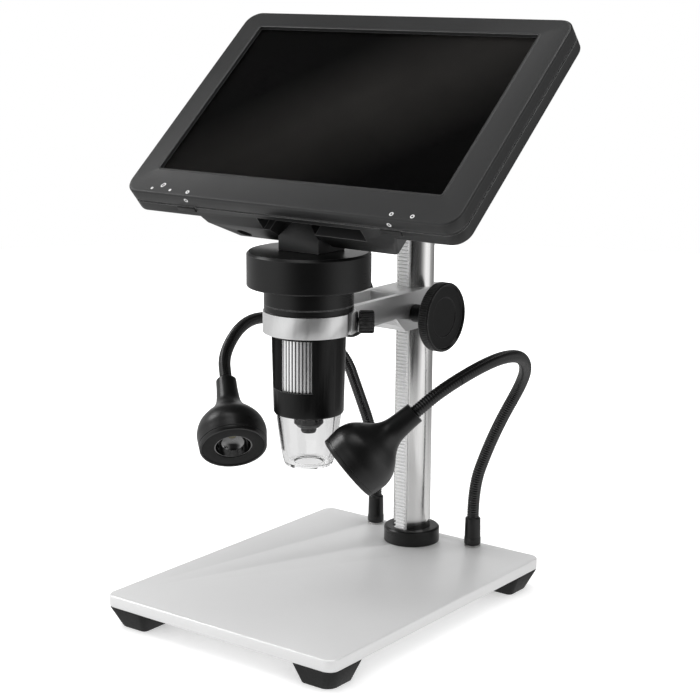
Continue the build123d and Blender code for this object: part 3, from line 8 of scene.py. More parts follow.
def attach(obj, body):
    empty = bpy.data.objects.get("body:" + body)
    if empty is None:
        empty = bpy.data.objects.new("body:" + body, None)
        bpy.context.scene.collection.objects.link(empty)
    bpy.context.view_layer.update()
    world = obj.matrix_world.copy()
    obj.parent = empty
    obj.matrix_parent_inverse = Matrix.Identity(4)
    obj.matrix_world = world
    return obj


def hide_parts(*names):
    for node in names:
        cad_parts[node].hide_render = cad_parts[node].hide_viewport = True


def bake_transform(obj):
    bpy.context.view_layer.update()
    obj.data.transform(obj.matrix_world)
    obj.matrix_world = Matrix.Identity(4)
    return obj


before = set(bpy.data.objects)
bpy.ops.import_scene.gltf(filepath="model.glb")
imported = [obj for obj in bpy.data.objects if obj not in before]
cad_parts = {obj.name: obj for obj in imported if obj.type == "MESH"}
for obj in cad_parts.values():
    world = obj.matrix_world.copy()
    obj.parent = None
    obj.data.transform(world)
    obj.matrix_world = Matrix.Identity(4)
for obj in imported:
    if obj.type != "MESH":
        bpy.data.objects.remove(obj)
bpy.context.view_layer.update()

# Dressed model of the LCD digital microscope.  Lengths are written in millimetres in the part's
# own frame (X right, Y back, Z up, origin under the stage plate) and scaled by MM to metres.
# The numbers of each turned outline are its (radius, height, rounding) corners.
MM = 0.001

# ---------------------------------------------------------------- places, in millimetres
STAGE_TOP = 15.0
COLUMN_Y = 65.9
COLUMN_RADIUS = 9.0
COLUMN_TOP = STAGE_TOP + 175.0
COLLAR_BORE = 9.05
COLLAR_RADIUS = 13.6
COLLAR_TOP = STAGE_TOP + 7.5
PINION = Vector((0, 49.95, STAGE_TOP + 117.5))
TUBE_Y = -16.2
RING_TOP = PINION.z + 10.2
RING_BOTTOM = RING_TOP - 9.5
CLAMP_SCREW_Z = RING_TOP - 5.4
CLAMP_SCREW_ANGLE = 38.5         # degrees from X
NECK_BOTTOM = RING_TOP + 0.1
NECK_TOP = NECK_BOTTOM + 10.9
CAP_TOP = NECK_TOP + 15.5
HINGE_AXIS = Vector((0, -14.3, CAP_TOP + 17.8))
BODY_BOTTOM = RING_BOTTOM - 36.7
WINDOW_BOTTOM = RING_BOTTOM - 25.0
WHEEL_BOTTOM = WINDOW_BOTTOM - 0.3
WHEEL_TOP = WHEEL_BOTTOM + 23.9
LEAN = radians(49.5)             # the screen at rest, back from upright
SCREEN_UP = Vector((0, sin(LEAN), cos(LEAN)))
SCREEN_NORMAL = Vector((0, -cos(LEAN), sin(LEAN)))
SCREEN_CENTRE = HINGE_AXIS + SCREEN_UP * 44.5 + SCREEN_NORMAL * 18.4
SCREEN_SIZE = (181.5, 121.0)
SCREEN_CORNER = 7.8
OPENING = (154.9, 95.1)
OPENING_CORNER = 1.0
OPENING_CENTRE = (-1.05, 2.45)

# the right lamp; the left one is its mirror image
HEADING = radians(43.0)
ELEVATION = radians(40.0)
LAMP_AXIS = Vector((cos(ELEVATION) * cos(HEADING), cos(ELEVATION) * sin(HEADING), sin(ELEVATION)))
LAMP_FACE = Vector((32.4, -30.3, 64.0 + STAGE_TOP))
LEFT_LAMP_DROP = Vector((0, 0, -2.0))
LAMP_LENGTH = 38.0
LAST_RUN = 16.3                  # straight stretch behind the lamp
LAMP_INSIDE = 7.5                # how far the gooseneck reaches into the lamp
ROUTE = [                        # the gooseneck's corners, above the stage plate
    (29.2, 76.0, 14.5), (29.2, 76.0, 30.0), (34.5, 78.5, 48.0), (42.5, 78.5, 65.5),
    (52.5, 80.0, 84.5), (63.0, 66.0, 97.0), (70.5, 46.0, 106.5), (71.0, 23.0, 108.0),
]
ROUND_SHARE = 0.45               # of the last run, taken up by its rounded corner
FLEX_LEAD = 1.0


# ---------------------------------------------------------------- node graphs
class Graph:
    """Small writer for one material's or world's node tree."""

    def __init__(self, tree):
        self.tree = tree

    def put(self, kind, values=None, **settings):
        node = self.tree.nodes.new(kind)
        for key, value in settings.items():
            setattr(node, key, value)
        for key, value in (values or {}).items():
            self.feed(node.inputs[key], value)
        return node

    def feed(self, socket, value):
        if isinstance(value, bpy.types.NodeSocket):
            self.tree.links.new(value, socket)
        else:
            socket.default_value = value

    def maths(self, operation, a, b=0.0, c=0.0):
        return self.put("ShaderNodeMath", {0: a, 1: b, 2: c}, operation=operation).outputs[0]

    def blend(self, factor, low, high):
        node = self.put("ShaderNodeMix", {0: factor, 6: low, 7: high}, data_type="RGBA")
        return node.outputs[2]

    def remap(self, value, low, high, to_low, to_high):
        keys = {"Value": value, "From Min": low, "From Max": high, "To Min": to_low, "To Max": to_high}
        return self.put("ShaderNodeMapRange", keys).outputs["Result"]

    def noise(self, vector, scale, detail=3.0, roughness=0.55):
        keys = {"Vector": vector, "Scale": scale, "Detail": detail, "Roughness": roughness}
        return self.put("ShaderNodeTexNoise", keys).outputs["Fac"]

    def stretched(self, vector, scale):
        return self.put("ShaderNodeMapping", {"Vector": vector, "Scale": scale}).outputs["Vector"]

    def coordinates(self):
        return self.put("ShaderNodeTexCoord").outputs["Object"]

    def axes(self, vector):
        return self.put("ShaderNodeSeparateXYZ", {0: vector}).outputs

    def dot(self, a, b):
        node = self.put("ShaderNodeVectorMath", {0: a, 1: b}, operation="DOT_PRODUCT")
        return node.outputs["Value"]


def shader_of(material):
    return material.node_tree.nodes["Principled BSDF"]


def grey(level, warm=0.0):
    """Neutral colour with a slight shift to warm or cool."""
    return (level * (1 + warm), level, level * (1 - warm), 1.0)


def shaded(colour, factor):
    return tuple(channel * factor for channel in colour[:3]) + (1.0,)


def turned_coordinates(graph, coordinates):
    """Distance from the local Z axis and height, so that marks run round the piece."""
    x, y, z = graph.axes(coordinates)
    squares = graph.maths("ADD", graph.maths("MULTIPLY", x, x), graph.maths("MULTIPLY", y, y))
    return graph.put("ShaderNodeCombineXYZ", {0: graph.maths("SQRT", squares), 2: z}).outputs[0]


BROAD_GRAIN = 32.0               # noise scales, per metre
EDGE_GRAIN = 420.0


def finish(name, colour, roughness, metallic=0.0, specular=0.5, tint=0.08, cloud=0.04,
           grain=1600.0, stretch=(1, 1, 1), turned=False, bump=0.04, depth=0.05, edge=None,
           edge_size=0.35, **sockets):
    """Principled material with grain, a broad change of gloss and edges painted lighter, part wear and
    part painted highlight.
    """
    material = bpy.data.materials.new(name)
    material.use_nodes = True
    graph = Graph(material.node_tree)
    shader = shader_of(material)
    coordinates = graph.coordinates()
    base = turned_coordinates(graph, coordinates) if turned else coordinates
    fine = graph.noise(graph.stretched(base, stretch), grain, 4.0, 0.6)
    broad = graph.noise(coordinates, BROAD_GRAIN, 3.0)
    shade = graph.blend(fine, shaded(colour, 1 - tint), shaded(colour, 1 + tint))
    soft = graph.remap(broad, 0.3, 0.7, -cloud, cloud)
    grainy = graph.remap(fine, 0.25, 0.75, roughness - cloud, roughness + cloud)
    gloss = graph.maths("ADD", grainy, soft)
    if edge:
        # edges painted lighter: part wear, part painted highlight along rims and corners
        bevel = graph.put("ShaderNodeBevel", {"Radius": edge_size * MM}, samples=4)
        plain = graph.put("ShaderNodeNewGeometry").outputs["Normal"]
        edge_wear_and_highlight = graph.remap(graph.dot(bevel.outputs[0], plain), 0.995, 0.90, 0.0, 1.0)
        uneven = graph.remap(graph.noise(coordinates, EDGE_GRAIN), 0.3, 0.6, 0.55, 1.0)
        shade = graph.blend(graph.maths("MULTIPLY", edge_wear_and_highlight, uneven), shade, edge)
    if bump:
        relief = graph.put("ShaderNodeBump", {"Strength": bump, "Distance": depth * MM, "Height": fine})
        graph.feed(shader.inputs["Normal"], relief.outputs[0])
    graph.feed(shader.inputs["Base Color"], shade)
    graph.feed(shader.inputs["Roughness"], gloss)
    shader.inputs["Metallic"].default_value = metallic
    shader.inputs["Specular IOR Level"].default_value = specular
    for socket, value in sockets.items():
        shader.inputs[socket.replace("_", " ")].default_value = value
    return material


# The edge colours below paint the edges lighter, part wear and part painted highlight.
ANODISED = finish("anodised_plate", grey(0.80), 0.44, 0.40, tint=0.05, cloud=0.05, grain=2600.0,
                  bump=0.10, depth=0.02, edge=grey(0.92), edge_size=0.5)
COLUMN_METAL = finish("satin_column", grey(0.92, 0.008), 0.22, 1.0, tint=0.10, cloud=0.05, grain=1500.0,
                      stretch=(1, 1, 0.015), bump=0.12, depth=0.02, edge=grey(0.85))
RACK_METAL = finish("rack_metal", grey(0.95), 0.40, 0.60, tint=0.12, cloud=0.06, grain=1400.0,
                    bump=0.25, depth=0.03, edge=grey(0.9), edge_size=0.12)
BRACKET = finish("brushed_bracket", grey(0.76), 0.33, 0.88, tint=0.06, cloud=0.04, grain=1800.0,
                 stretch=(1, 1, 0.25), bump=0.05, depth=0.02, edge=grey(1.0), edge_size=0.5)
BLACK_METAL = finish("black_anodised", grey(0.0030, -0.01), 0.32, specular=0.34, tint=0.12,
                     cloud=0.05, grain=2400.0, turned=True, bump=0.06, depth=0.02, edge=grey(0.16),
                     edge_size=0.30)
KNOB_BLACK = finish("knob_black", grey(0.0030, -0.01), 0.34, specular=0.30, tint=0.15, cloud=0.05,
                    grain=2600.0, turned=True, bump=0.18, depth=0.02, edge=grey(0.16), edge_size=0.28)
BLACK_PLASTIC = finish("black_plastic", grey(0.006), 0.42, specular=0.45, tint=0.15, cloud=0.06,
                       grain=1800.0, bump=0.12, depth=0.03, edge=grey(0.035))
CASE = finish("case_plastic", grey(0.016, -0.012), 0.44, specular=0.42, tint=0.10, cloud=0.05,
              grain=2100.0, bump=0.16, depth=0.03, edge=grey(0.20), edge_size=0.40)
LAMP_BLACK = finish("lamp_plastic", grey(0.0035), 0.33, specular=0.5, tint=0.12, cloud=0.05,
                    grain=1900.0, bump=0.05, depth=0.02, edge=grey(0.03))
NECK_BLACK = finish("neck_cover", grey(0.0030), 0.16, specular=0.6, tint=0.15, cloud=0.06, grain=1500.0,
                    bump=0.06, depth=0.02)
RUBBER = finish("foot_rubber", grey(0.0075), 0.62, specular=0.35, tint=0.25, cloud=0.07, grain=900.0,
                bump=0.30, depth=0.05, edge=grey(0.030), edge_size=0.6)
STEEL = finish("steel_fasteners", grey(0.50, 0.01), 0.30, 1.0, tint=0.10, cloud=0.06, grain=1500.0,
               bump=0.10, depth=0.02, edge=grey(0.8), edge_size=0.15)
BRASS = finish("pinion_brass", (0.62, 0.43, 0.17, 1), 0.30, 1.0, tint=0.10, cloud=0.05, grain=1500.0,
               bump=0.10, depth=0.02, edge=(0.85, 0.65, 0.33, 1), edge_size=0.12)
NYLON = finish("nylon", grey(0.60, 0.03), 0.50, tint=0.06, cloud=0.05, bump=0.05)
BOARD = finish("circuit_board", (0.010, 0.075, 0.028, 1), 0.42, tint=0.30, cloud=0.08, grain=500.0,
               bump=0.15, depth=0.04)
WHITE_BOARD = finish("led_board", grey(0.55, 0.01), 0.45, tint=0.10, cloud=0.06, grain=700.0, bump=0.05)
EMITTER = finish("led_emitter", (0.16, 0.15, 0.10, 1), 0.18, tint=0.20, cloud=0.04, grain=900.0,
                 bump=0.05, Coat_Weight=0.6)
BATTERY = finish("battery_wrap", (0.02, 0.12, 0.30, 1), 0.32, tint=0.10, cloud=0.05, grain=600.0,
                 bump=0.04)
CHROME = finish("reflector_chrome", grey(0.22), 0.10, 1.0, tint=0.05, cloud=0.03, grain=900.0,
                bump=0.20, depth=0.03)
RING_GREY = finish("lamp_face", grey(0.0022), 0.38, specular=0.18, tint=0.12, cloud=0.06, grain=1700.0,
                   bump=0.10, depth=0.03, edge=grey(0.07))
MARK = finish("mark_print", grey(0.62), 0.50, tint=0.06, cloud=0.05, grain=3000.0, bump=0.0)


def clear(name, colour, roughness, ior, tint=0.02, bump=0.03, cloud=0.012):
    """Clear plastic or glass with faint flow marks in its surface."""
    return finish(name, colour, roughness, tint=tint, cloud=cloud, grain=260.0, bump=bump, depth=0.05,
                  Transmission_Weight=1.0, IOR=ior)


CLEAR = clear("clear_plastic", (1.0, 1.0, 1.0, 1), 0.02, ior=1.40, tint=0.004)
LENS = clear("lens_glass", (0.80, 0.86, 0.93, 1), 0.015, ior=1.6)
COVER = clear("display_glass", (0.55, 0.55, 0.55, 1), 0.05, ior=1.24, bump=0.0, cloud=0.001)


DISPLAY_HALF_WIDTH = 77.4
DISPLAY_FOOT = 200.0             # heights above the table
DISPLAY_HEAD = 262.0
REFLECTION_SLANT = 0.692
REFLECTION_SHIFT = -0.083


def display_material():
    """Switched-off display with one faint diagonal band painted a little lighter, as a painted
    reflection.
    """
    material = finish("display_black", grey(0.0020), 0.30, specular=0.02, tint=0.1, cloud=0.03,
                      grain=3000.0, bump=0.0)
    graph = Graph(material.node_tree)
    coordinates = graph.coordinates()
    x, _, z = graph.axes(coordinates)
    # painted reflection: a faint diagonal band, lighter across the middle, painted into the display's
    # colour
    across = graph.maths("MULTIPLY_ADD", x, 1 / (DISPLAY_HALF_WIDTH * MM), REFLECTION_SHIFT)
    height = graph.remap(z, DISPLAY_FOOT * MM, DISPLAY_HEAD * MM, REFLECTION_SLANT, -REFLECTION_SLANT)
    place = graph.maths("ADD", across, height)
    rise = graph.remap(place, -0.80, -0.10, 0.0, 1.0)
    fall = graph.remap(place, 0.15, 0.95, 1.0, 0.0)
    band = graph.maths("MULTIPLY", rise, fall)
    uneven = graph.remap(graph.noise(coordinates, 26.0), 0.3, 0.7, 0.8, 1.0)
    painted_reflection = graph.maths("MULTIPLY", band, uneven)
    colour = graph.blend(painted_reflection, grey(0.0002), grey(0.032, 0.06))
    graph.feed(shader_of(material).inputs["Base Color"], colour)
    return material


DISPLAY = display_material()


def wheel_material():
    """Silver ribs whose grooves are painted dark, as painted shade."""
    material = finish("silver_wheel", grey(0.98), 0.34, 0.85, tint=0.07, cloud=0.04, grain=2200.0,
                      bump=0.10, depth=0.02)
    graph = Graph(material.node_tree)
    colour = shader_of(material).inputs["Base Color"]
    bright = colour.links[0].from_socket
    # painted shade: the colour goes dark grey down in the grooves between the ribs
    radius = graph.axes(turned_coordinates(graph, graph.coordinates()))[0]
    groove_shade_mask = graph.remap(radius, 14.15 * MM, 14.7 * MM, 0.0, 1.0)
    graph.feed(colour, graph.blend(groove_shade_mask, grey(0.05), bright))
    return material


def body_material():
    """Black anodised tube whose shallow window recess is painted near-black and matt, as painted shade
    in place of a deep opening.
    """
    material = finish("tube_anodised", grey(0.0024, -0.01), 0.34, specular=0.28, tint=0.12, cloud=0.05,
                      grain=2400.0, bump=0.06, depth=0.02, edge=grey(0.16), edge_size=0.3)
    graph = Graph(material.node_tree)
    colour, roughness = (shader_of(material).inputs[name] for name in ("Base Color", "Roughness"))
    worn_and_highlit = colour.links[0].from_socket
    gloss = roughness.links[0].from_socket
    shift = {0: graph.coordinates(), 1: (0, -TUBE_Y * MM, 0)}
    centred = graph.put("ShaderNodeVectorMath", shift, operation="ADD").outputs[0]
    radius, _, height = graph.axes(turned_coordinates(graph, centred))
    # painted shade: inside the window, below the wall's surface, the colour goes near-black and the
    # gloss matt
    inside = graph.remap(radius, 15.50 * MM, 15.60 * MM, 1.0, 0.0)
    above = graph.remap(height, WINDOW_BOTTOM * MM, (WINDOW_BOTTOM + 0.05) * MM, 0.0, 1.0)
    recess = graph.maths("MULTIPLY", inside, above)
    graph.feed(colour, graph.blend(recess, worn_and_highlit, grey(0.001)))
    graph.feed(roughness, graph.maths("MAXIMUM", gloss, graph.maths("MULTIPLY", recess, 0.85)))
    return material


WHEEL = wheel_material()
TUBE_BLACK = body_material()


# ---------------------------------------------------------------- mesh building
def frame_at(origin, z_axis, x_hint):
    """Matrix of a right-handed frame, origin in millimetres."""
    z = Vector(z_axis).normalized()
    x = Vector(x_hint)
    x = (x - z * x.dot(z)).normalized()
    y = z.cross(x)
    matrix = Matrix((x, y, z)).transposed().to_4x4()
    matrix.translation = Vector(origin) * MM
    return matrix


def upright(x, y, z=0.0):
    return frame_at((x, y, z), (0, 0, 1), (1, 0, 0))


SCREEN_FRAME = frame_at(SCREEN_CENTRE, SCREEN_NORMAL, (1, 0, 0))
TUBE_FRAME = upright(0, TUBE_Y)


def piece(name, vertices, faces, place, body, material, slot, replaces=(), sharp=35.0):
    """Object from millimetre vertices, smooth except at sharp edges, that rides on a body."""
    mesh = bpy.data.meshes.new(name)
    mesh.from_pydata([tuple(c * MM for c in vertex) for vertex in vertices], [], faces)
    work = bmesh.new()
    work.from_mesh(mesh)
    bmesh.ops.remove_doubles(work, verts=work.verts, dist=1e-7)
    bmesh.ops.recalc_face_normals(work, faces=work.faces)
    work.to_mesh(mesh)
    work.free()
    mesh.shade_smooth()
    mesh.set_sharp_from_angle(angle=radians(sharp))
    mesh.materials.append(material)
    shown = bpy.data.objects.new(name, mesh)
    bpy.context.scene.collection.objects.link(shown)
    shown.matrix_world = place
    if body:
        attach(shown, body)
    if replaces:
        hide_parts(*replaces)
    return shown


def rounded(corners, closed=False, steps=4):
    """Outline points from (x, y, rounding) corners."""
    points = []
    count = len(corners)
    for i, corner in enumerate(corners):
        here = Vector(corner[:2])
        size = corner[2] if len(corner) > 2 else 0.0
        at_end = not closed and i in (0, count - 1)
        if size <= 0 or at_end:
            points.append((here.x, here.y))
            continue
        back = Vector(corners[i - 1][:2]) - here
        ahead = Vector(corners[(i + 1) % count][:2]) - here
        angle = back.angle(ahead)
        trim = size / tan(max(angle, 0.05) / 2)
        trim = min(trim, 0.48 * back.length, 0.48 * ahead.length)
        start = here + back.normalized() * trim
        end = here + ahead.normalized() * trim
        for k in range(steps + 1):
            t = k / steps
            spot = start * (1 - t) ** 2 + here * (2 * t * (1 - t)) + end * t ** 2
            points.append((spot.x, spot.y))
    return points


def lathe(outline, segments, relief=None):
    """Turned body from (radius, height) points; open outlines start and end on the axis."""
    closed = outline[0][0] > 1e-6
    vertices, rings, faces = [], [], []
    for radius, height in outline:
        if radius < 1e-6:
            rings.append([len(vertices)] * segments)
            vertices.append((0, 0, height))
            continue
        ring = []
        for k in range(segments):
            angle = 2 * pi * k / segments
            reach = relief(angle, radius) if relief else radius
            ring.append(len(vertices))
            vertices.append((reach * cos(angle), reach * sin(angle), height))
        rings.append(ring)
    pairs = list(zip(rings, rings[1:]))
    if closed:
        pairs.append((rings[-1], rings[0]))
    for lower, upper in pairs:
        for k in range(segments):
            n = (k + 1) % segments
            corners = [lower[k], lower[n], upper[n], upper[k]]
            unique = list(dict.fromkeys(corners))
            if len(unique) > 2:
                faces.append(unique)
    return vertices, faces


def ribs(count, depth, from_radius, share):
    """Relief function that cuts grooves into the rim of a turned body; share is what stays."""
    def relief(angle, radius):
        if radius < from_radius:
            return radius
        phase = angle * count / (2 * pi) % 1.0
        edge = abs(phase - 0.5) * 2
        cut = min(max((edge - share) / (1 - share) * 2.2, 0.0), 1.0)
        return radius - depth * cut
    return relief


CORNER_STEPS = 8


def rectangle_loop(width, height, corner, level, centre=(0, 0)):
    """Closed rounded rectangle at one level, always with the same number of points."""
    points = []
    for sx, sy, turn in ((1, 1, 0), (-1, 1, 90), (-1, -1, 180), (1, -1, 270)):
        cx = centre[0] + sx * (width / 2 - corner)
        cy = centre[1] + sy * (height / 2 - corner)
        for k in range(CORNER_STEPS + 1):
            angle = radians(turn + 90 * k / CORNER_STEPS)
            points.append((cx + corner * cos(angle), cy + corner * sin(angle), level))
    return points


def loft(loops):
    """Skin over loops of equal point counts, whose last loop joins the first."""
    count = len(loops[0])
    vertices = [point for loop in loops for point in loop]
    faces = []
    for i in range(len(loops)):
        a, b = i * count, (i + 1) % len(loops) * count
        for k in range(count):
            n = (k + 1) % count
            faces.append((a + k, a + n, b + n, b + k))
    return vertices, faces


FLAT_ANGLE = 0.6                 # degrees: faces that differ less are merged
EDGE_ANGLE = 28.0                # degrees: edges sharper than this are rounded


def soften(node, width, segments=2):
    """Rounds the sharp edges of a carried-over CAD node and shades it smooth."""
    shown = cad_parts[node]
    weld = shown.modifiers.new("weld", "WELD")
    weld.merge_threshold = 2e-6
    flat = shown.modifiers.new("flat", "DECIMATE")
    flat.decimate_type = "DISSOLVE"
    flat.angle_limit = radians(FLAT_ANGLE)
    bevel = shown.modifiers.new("round", "BEVEL")
    bevel.width = width * MM
    bevel.segments = segments
    bevel.limit_method = "ANGLE"
    bevel.angle_limit = radians(EDGE_ANGLE)
    bevel.harden_normals = True
    bevel.miter_outer = "MITER_ARC"
    shown.data.shade_smooth()


def paint(material, *nodes):
    """Give carried-over CAD nodes a finish."""
    for node in nodes:
        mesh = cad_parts[node].data
        if mesh.materials:
            for i in range(len(mesh.materials)):
                mesh.materials[i] = material
        else:
            mesh.materials.append(material)


# ---------------------------------------------------------------- stage and column
paint(ANODISED, "stage_plate")
soften("stage_plate", 0.12)
for corner in ("front_left", "front_right", "back_left", "back_right"):
    paint(RUBBER, f"foot_{corner}")
    soften(f"foot_{corner}", 0.7, 3)
paint(STEEL, "foot_screws", "column_bolt", "arm_nuts", "tension_screw", "clamp_screw_shank",
      "knob_set_screws", "hinge_pin", "case_screws", "pinion_shaft", "left_arm_stud", "right_arm_stud")
for node in ("foot_screws", "arm_nuts", "left_arm_stud", "right_arm_stud", "case_screws"):
    soften(node, 0.12)
paint(COLUMN_METAL, "column_rod")
soften("column_rod", 0.15)
paint(RACK_METAL, "column_rack")
paint(NYLON, "tension_pad")

COLUMN_FRAME = upright(0, COLUMN_Y)
collar = rounded([
    (COLLAR_BORE, STAGE_TOP), (COLLAR_RADIUS, STAGE_TOP, 0.2), (COLLAR_RADIUS, COLLAR_TOP - 0.8, 0.3),
    (COLLAR_RADIUS - 0.8, COLLAR_TOP, 0.3), (COLLAR_BORE, COLLAR_TOP, 0.2),
], closed=True)
piece("collar_skin", *lathe(collar, 112), COLUMN_FRAME, "base", BLACK_METAL, "black_anodised",
      ["column_collar"])
PLUG_RADIUS = 5.0
plug_end = COLUMN_TOP - 6.0
cap_top = COLUMN_TOP + 3.0
cap = rounded([(0, plug_end), (PLUG_RADIUS, plug_end, 0.4), (PLUG_RADIUS, COLUMN_TOP),
               (COLUMN_RADIUS, COLUMN_TOP, 0.2), (COLUMN_RADIUS, cap_top, 1.0), (0, cap_top)])
piece("column_cap_skin", *lathe(cap, 96), COLUMN_FRAME, "base", BLACK_PLASTIC, "black_plastic",
      ["column_cap"])

# ---------------------------------------------------------------- bracket, knobs, clamp screw
paint(BRACKET, "clamp_bracket")
soften("clamp_bracket", 0.35, 2)
paint(BRASS, "pinion_gear")

KNOB_BORE = 2.55                 # radii of the knobs
KNOB_HUB = 4.2
KNOB_RIM = 16.2
KNOB_HUB_END = 10.9              # and distances along the pinion shaft from its middle
KNOB_BACK = 23.4
KNOB_BORE_END = 25.35
KNOB_CENTRE = 27.3
KNOB_DISH = 27.8
KNOB_FACE = 29.0
KNOB_RIBS = 96
knob = rounded([
    (0, KNOB_BORE_END), (KNOB_BORE, KNOB_BORE_END), (KNOB_BORE, KNOB_HUB_END, 0.2),
    (KNOB_HUB, KNOB_HUB_END, 0.4), (KNOB_HUB, KNOB_BACK, 0.5), (KNOB_RIM - 0.8, KNOB_BACK, 0.3),
    (KNOB_RIM, KNOB_BACK + 0.8, 0.4), (KNOB_RIM, KNOB_FACE - 0.7, 0.3),
    (KNOB_RIM - 0.7, KNOB_FACE, 0.25), (KNOB_RIM - 1.2, KNOB_FACE, 0.2),
    (KNOB_RIM - 1.7, KNOB_DISH, 0.3), (9.5, KNOB_DISH, 0.2), (9.0, KNOB_CENTRE, 0.25),
    (0, KNOB_CENTRE),
])
knob_mesh = lathe(knob, 6 * KNOB_RIBS, ribs(KNOB_RIBS, 0.20, KNOB_RIM - 0.65, 0.5))
for side, name in ((1, "right"), (-1, "left")):
    place = frame_at(PINION, (side, 0, 0), (0, 0, 1))
    piece(f"{name}_knob_skin", *knob_mesh, place, "focus_pinion", KNOB_BLACK, "black_anodised",
          [f"{name}_focus_knob"])

CLAMP_RADIUS = 5.15
CLAMP_CHAMFER = 0.6
CLAMP_BACK = 22.1                # distances from the tube's axis
CLAMP_FACE = 28.9
CLAMP_RIBS = 16
clamp = rounded([
    (0, CLAMP_BACK), (CLAMP_RADIUS - CLAMP_CHAMFER, CLAMP_BACK, 0.2),
    (CLAMP_RADIUS, CLAMP_BACK + CLAMP_CHAMFER, 0.3), (CLAMP_RADIUS, CLAMP_FACE - CLAMP_CHAMFER, 0.3),
    (CLAMP_RADIUS - CLAMP_CHAMFER, CLAMP_FACE, 0.3), (3.4, CLAMP_FACE, 0.2),
    (3.1, CLAMP_FACE - 0.3, 0.2), (0, CLAMP_FACE - 0.3),
])
turn = radians(CLAMP_SCREW_ANGLE)
clamp_place = frame_at((0, TUBE_Y, CLAMP_SCREW_Z), (cos(turn), sin(turn), 0), (0, 0, 1))
clamp_mesh = lathe(clamp, 14 * CLAMP_RIBS, ribs(CLAMP_RIBS, 0.55, CLAMP_RADIUS - 0.45, 0.35))
piece("clamp_head_skin", *clamp_mesh, clamp_place, "clamp_screw", KNOB_BLACK, "black_plastic",
      ["clamp_screw_head"])

# ---------------------------------------------------------------- microscope tube
NECK_BORE = 13.4                 # radii
TUBE_FIT = 14.95
RING_FIT = 18.35
NECK_OUTSIDE = 19.9
CAP_FIT = 25.45
CAP_RADIUS = 27.5
tube_end = RING_BOTTOM + 6.55    # heights
groove = NECK_BOTTOM + 2.6
cap_seat = NECK_TOP + 2.4
neck = rounded([
    (TUBE_FIT, RING_BOTTOM), (RING_FIT, RING_BOTTOM), (RING_FIT, NECK_BOTTOM),
    (NECK_OUTSIDE, NECK_BOTTOM, 0.5), (NECK_OUTSIDE, groove), (NECK_OUTSIDE - 0.2, groove + 0.1),
    (NECK_OUTSIDE - 0.2, groove + 0.4), (NECK_OUTSIDE, groove + 0.5), (NECK_OUTSIDE, NECK_TOP),
    (CAP_FIT, NECK_TOP), (CAP_FIT, cap_seat), (NECK_BORE, cap_seat), (NECK_BORE, tube_end),
    (TUBE_FIT, tube_end),
], closed=True)
piece("neck_skin", *lathe(neck, 128), TUBE_FRAME, "microscope_head", BLACK_METAL, "black_anodised",
      ["tube_neck"])
top_cap = rounded([
    (0, CAP_TOP - 2), (CAP_FIT + 0.05, CAP_TOP - 2), (CAP_FIT + 0.05, NECK_TOP, 0.2),
    (CAP_RADIUS - 0.4, NECK_TOP, 0.3), (CAP_RADIUS, NECK_TOP + 0.45, 0.4),
    (CAP_RADIUS, CAP_TOP - 1.1, 0.35), (CAP_RADIUS - 1.1, CAP_TOP, 0.35), (0, CAP_TOP),
])
piece("top_cap_skin", *lathe(top_cap, 160), TUBE_FRAME, "microscope_head", BLACK_METAL,
      "black_anodised", ["top_cap"])
paint(TUBE_BLACK, "tube_body")
soften("tube_body", 0.3, 2)

WHEEL_BORE = 9.3
WHEEL_RADIUS = 15.0
WHEEL_RIBS = 58
wheel = rounded([(WHEEL_BORE, WHEEL_BOTTOM), (WHEEL_RADIUS, WHEEL_BOTTOM, 0.7),
                 (WHEEL_RADIUS, WHEEL_TOP, 0.7), (WHEEL_BORE, WHEEL_TOP)], closed=True)
wheel_mesh = lathe(wheel, 8 * WHEEL_RIBS, ribs(WHEEL_RIBS, 0.75, WHEEL_RADIUS - 2.0, 0.50))
piece("focus_wheel_skin", *wheel_mesh, TUBE_FRAME, "focus_wheel_body", WHEEL, "silver_wheel",
      ["focus_wheel"])

BARREL_RADIUS = 3.5
BARREL_SHOULDER = 6.6
CARRIER_RADIUS = 9.0
GLASS_RADIUS = 2.6
barrel_end = BODY_BOTTOM - 6.8
barrel_tip = barrel_end - 2.5
glass_seat = barrel_tip + 1.825
carrier = WHEEL_BOTTOM + 4.95
carrier_top = carrier + 14.0
barrel = rounded([
    (GLASS_RADIUS + 0.05, barrel_tip), (3.08, barrel_tip), (BARREL_RADIUS, barrel_tip + 0.83, 0.1),
    (BARREL_RADIUS, barrel_end, 0.1), (4.8, barrel_end, 0.2), (BARREL_SHOULDER, barrel_end + 1.8, 0.3),
    (BARREL_SHOULDER, carrier), (CARRIER_RADIUS, carrier, 0.2), (CARRIER_RADIUS, carrier_top, 0.2),
    (BARREL_RADIUS, carrier_top), (1.3, glass_seat), (GLASS_RADIUS + 0.05, glass_seat),
], closed=True)
piece("lens_barrel_skin", *lathe(barrel, 96), TUBE_FRAME, "lens_carrier", BLACK_METAL,
      "black_anodised", ["lens_barrel"])
lens = rounded([(0, glass_seat - 1.2), (1.5, glass_seat - 1.1, 2.0), (GLASS_RADIUS, glass_seat - 0.6),
                (GLASS_RADIUS, glass_seat), (0, glass_seat)], steps=6)
piece("objective_skin", *lathe(lens, 64), TUBE_FRAME, "lens_carrier", LENS, "lens_glass",
      ["objective_lens"])

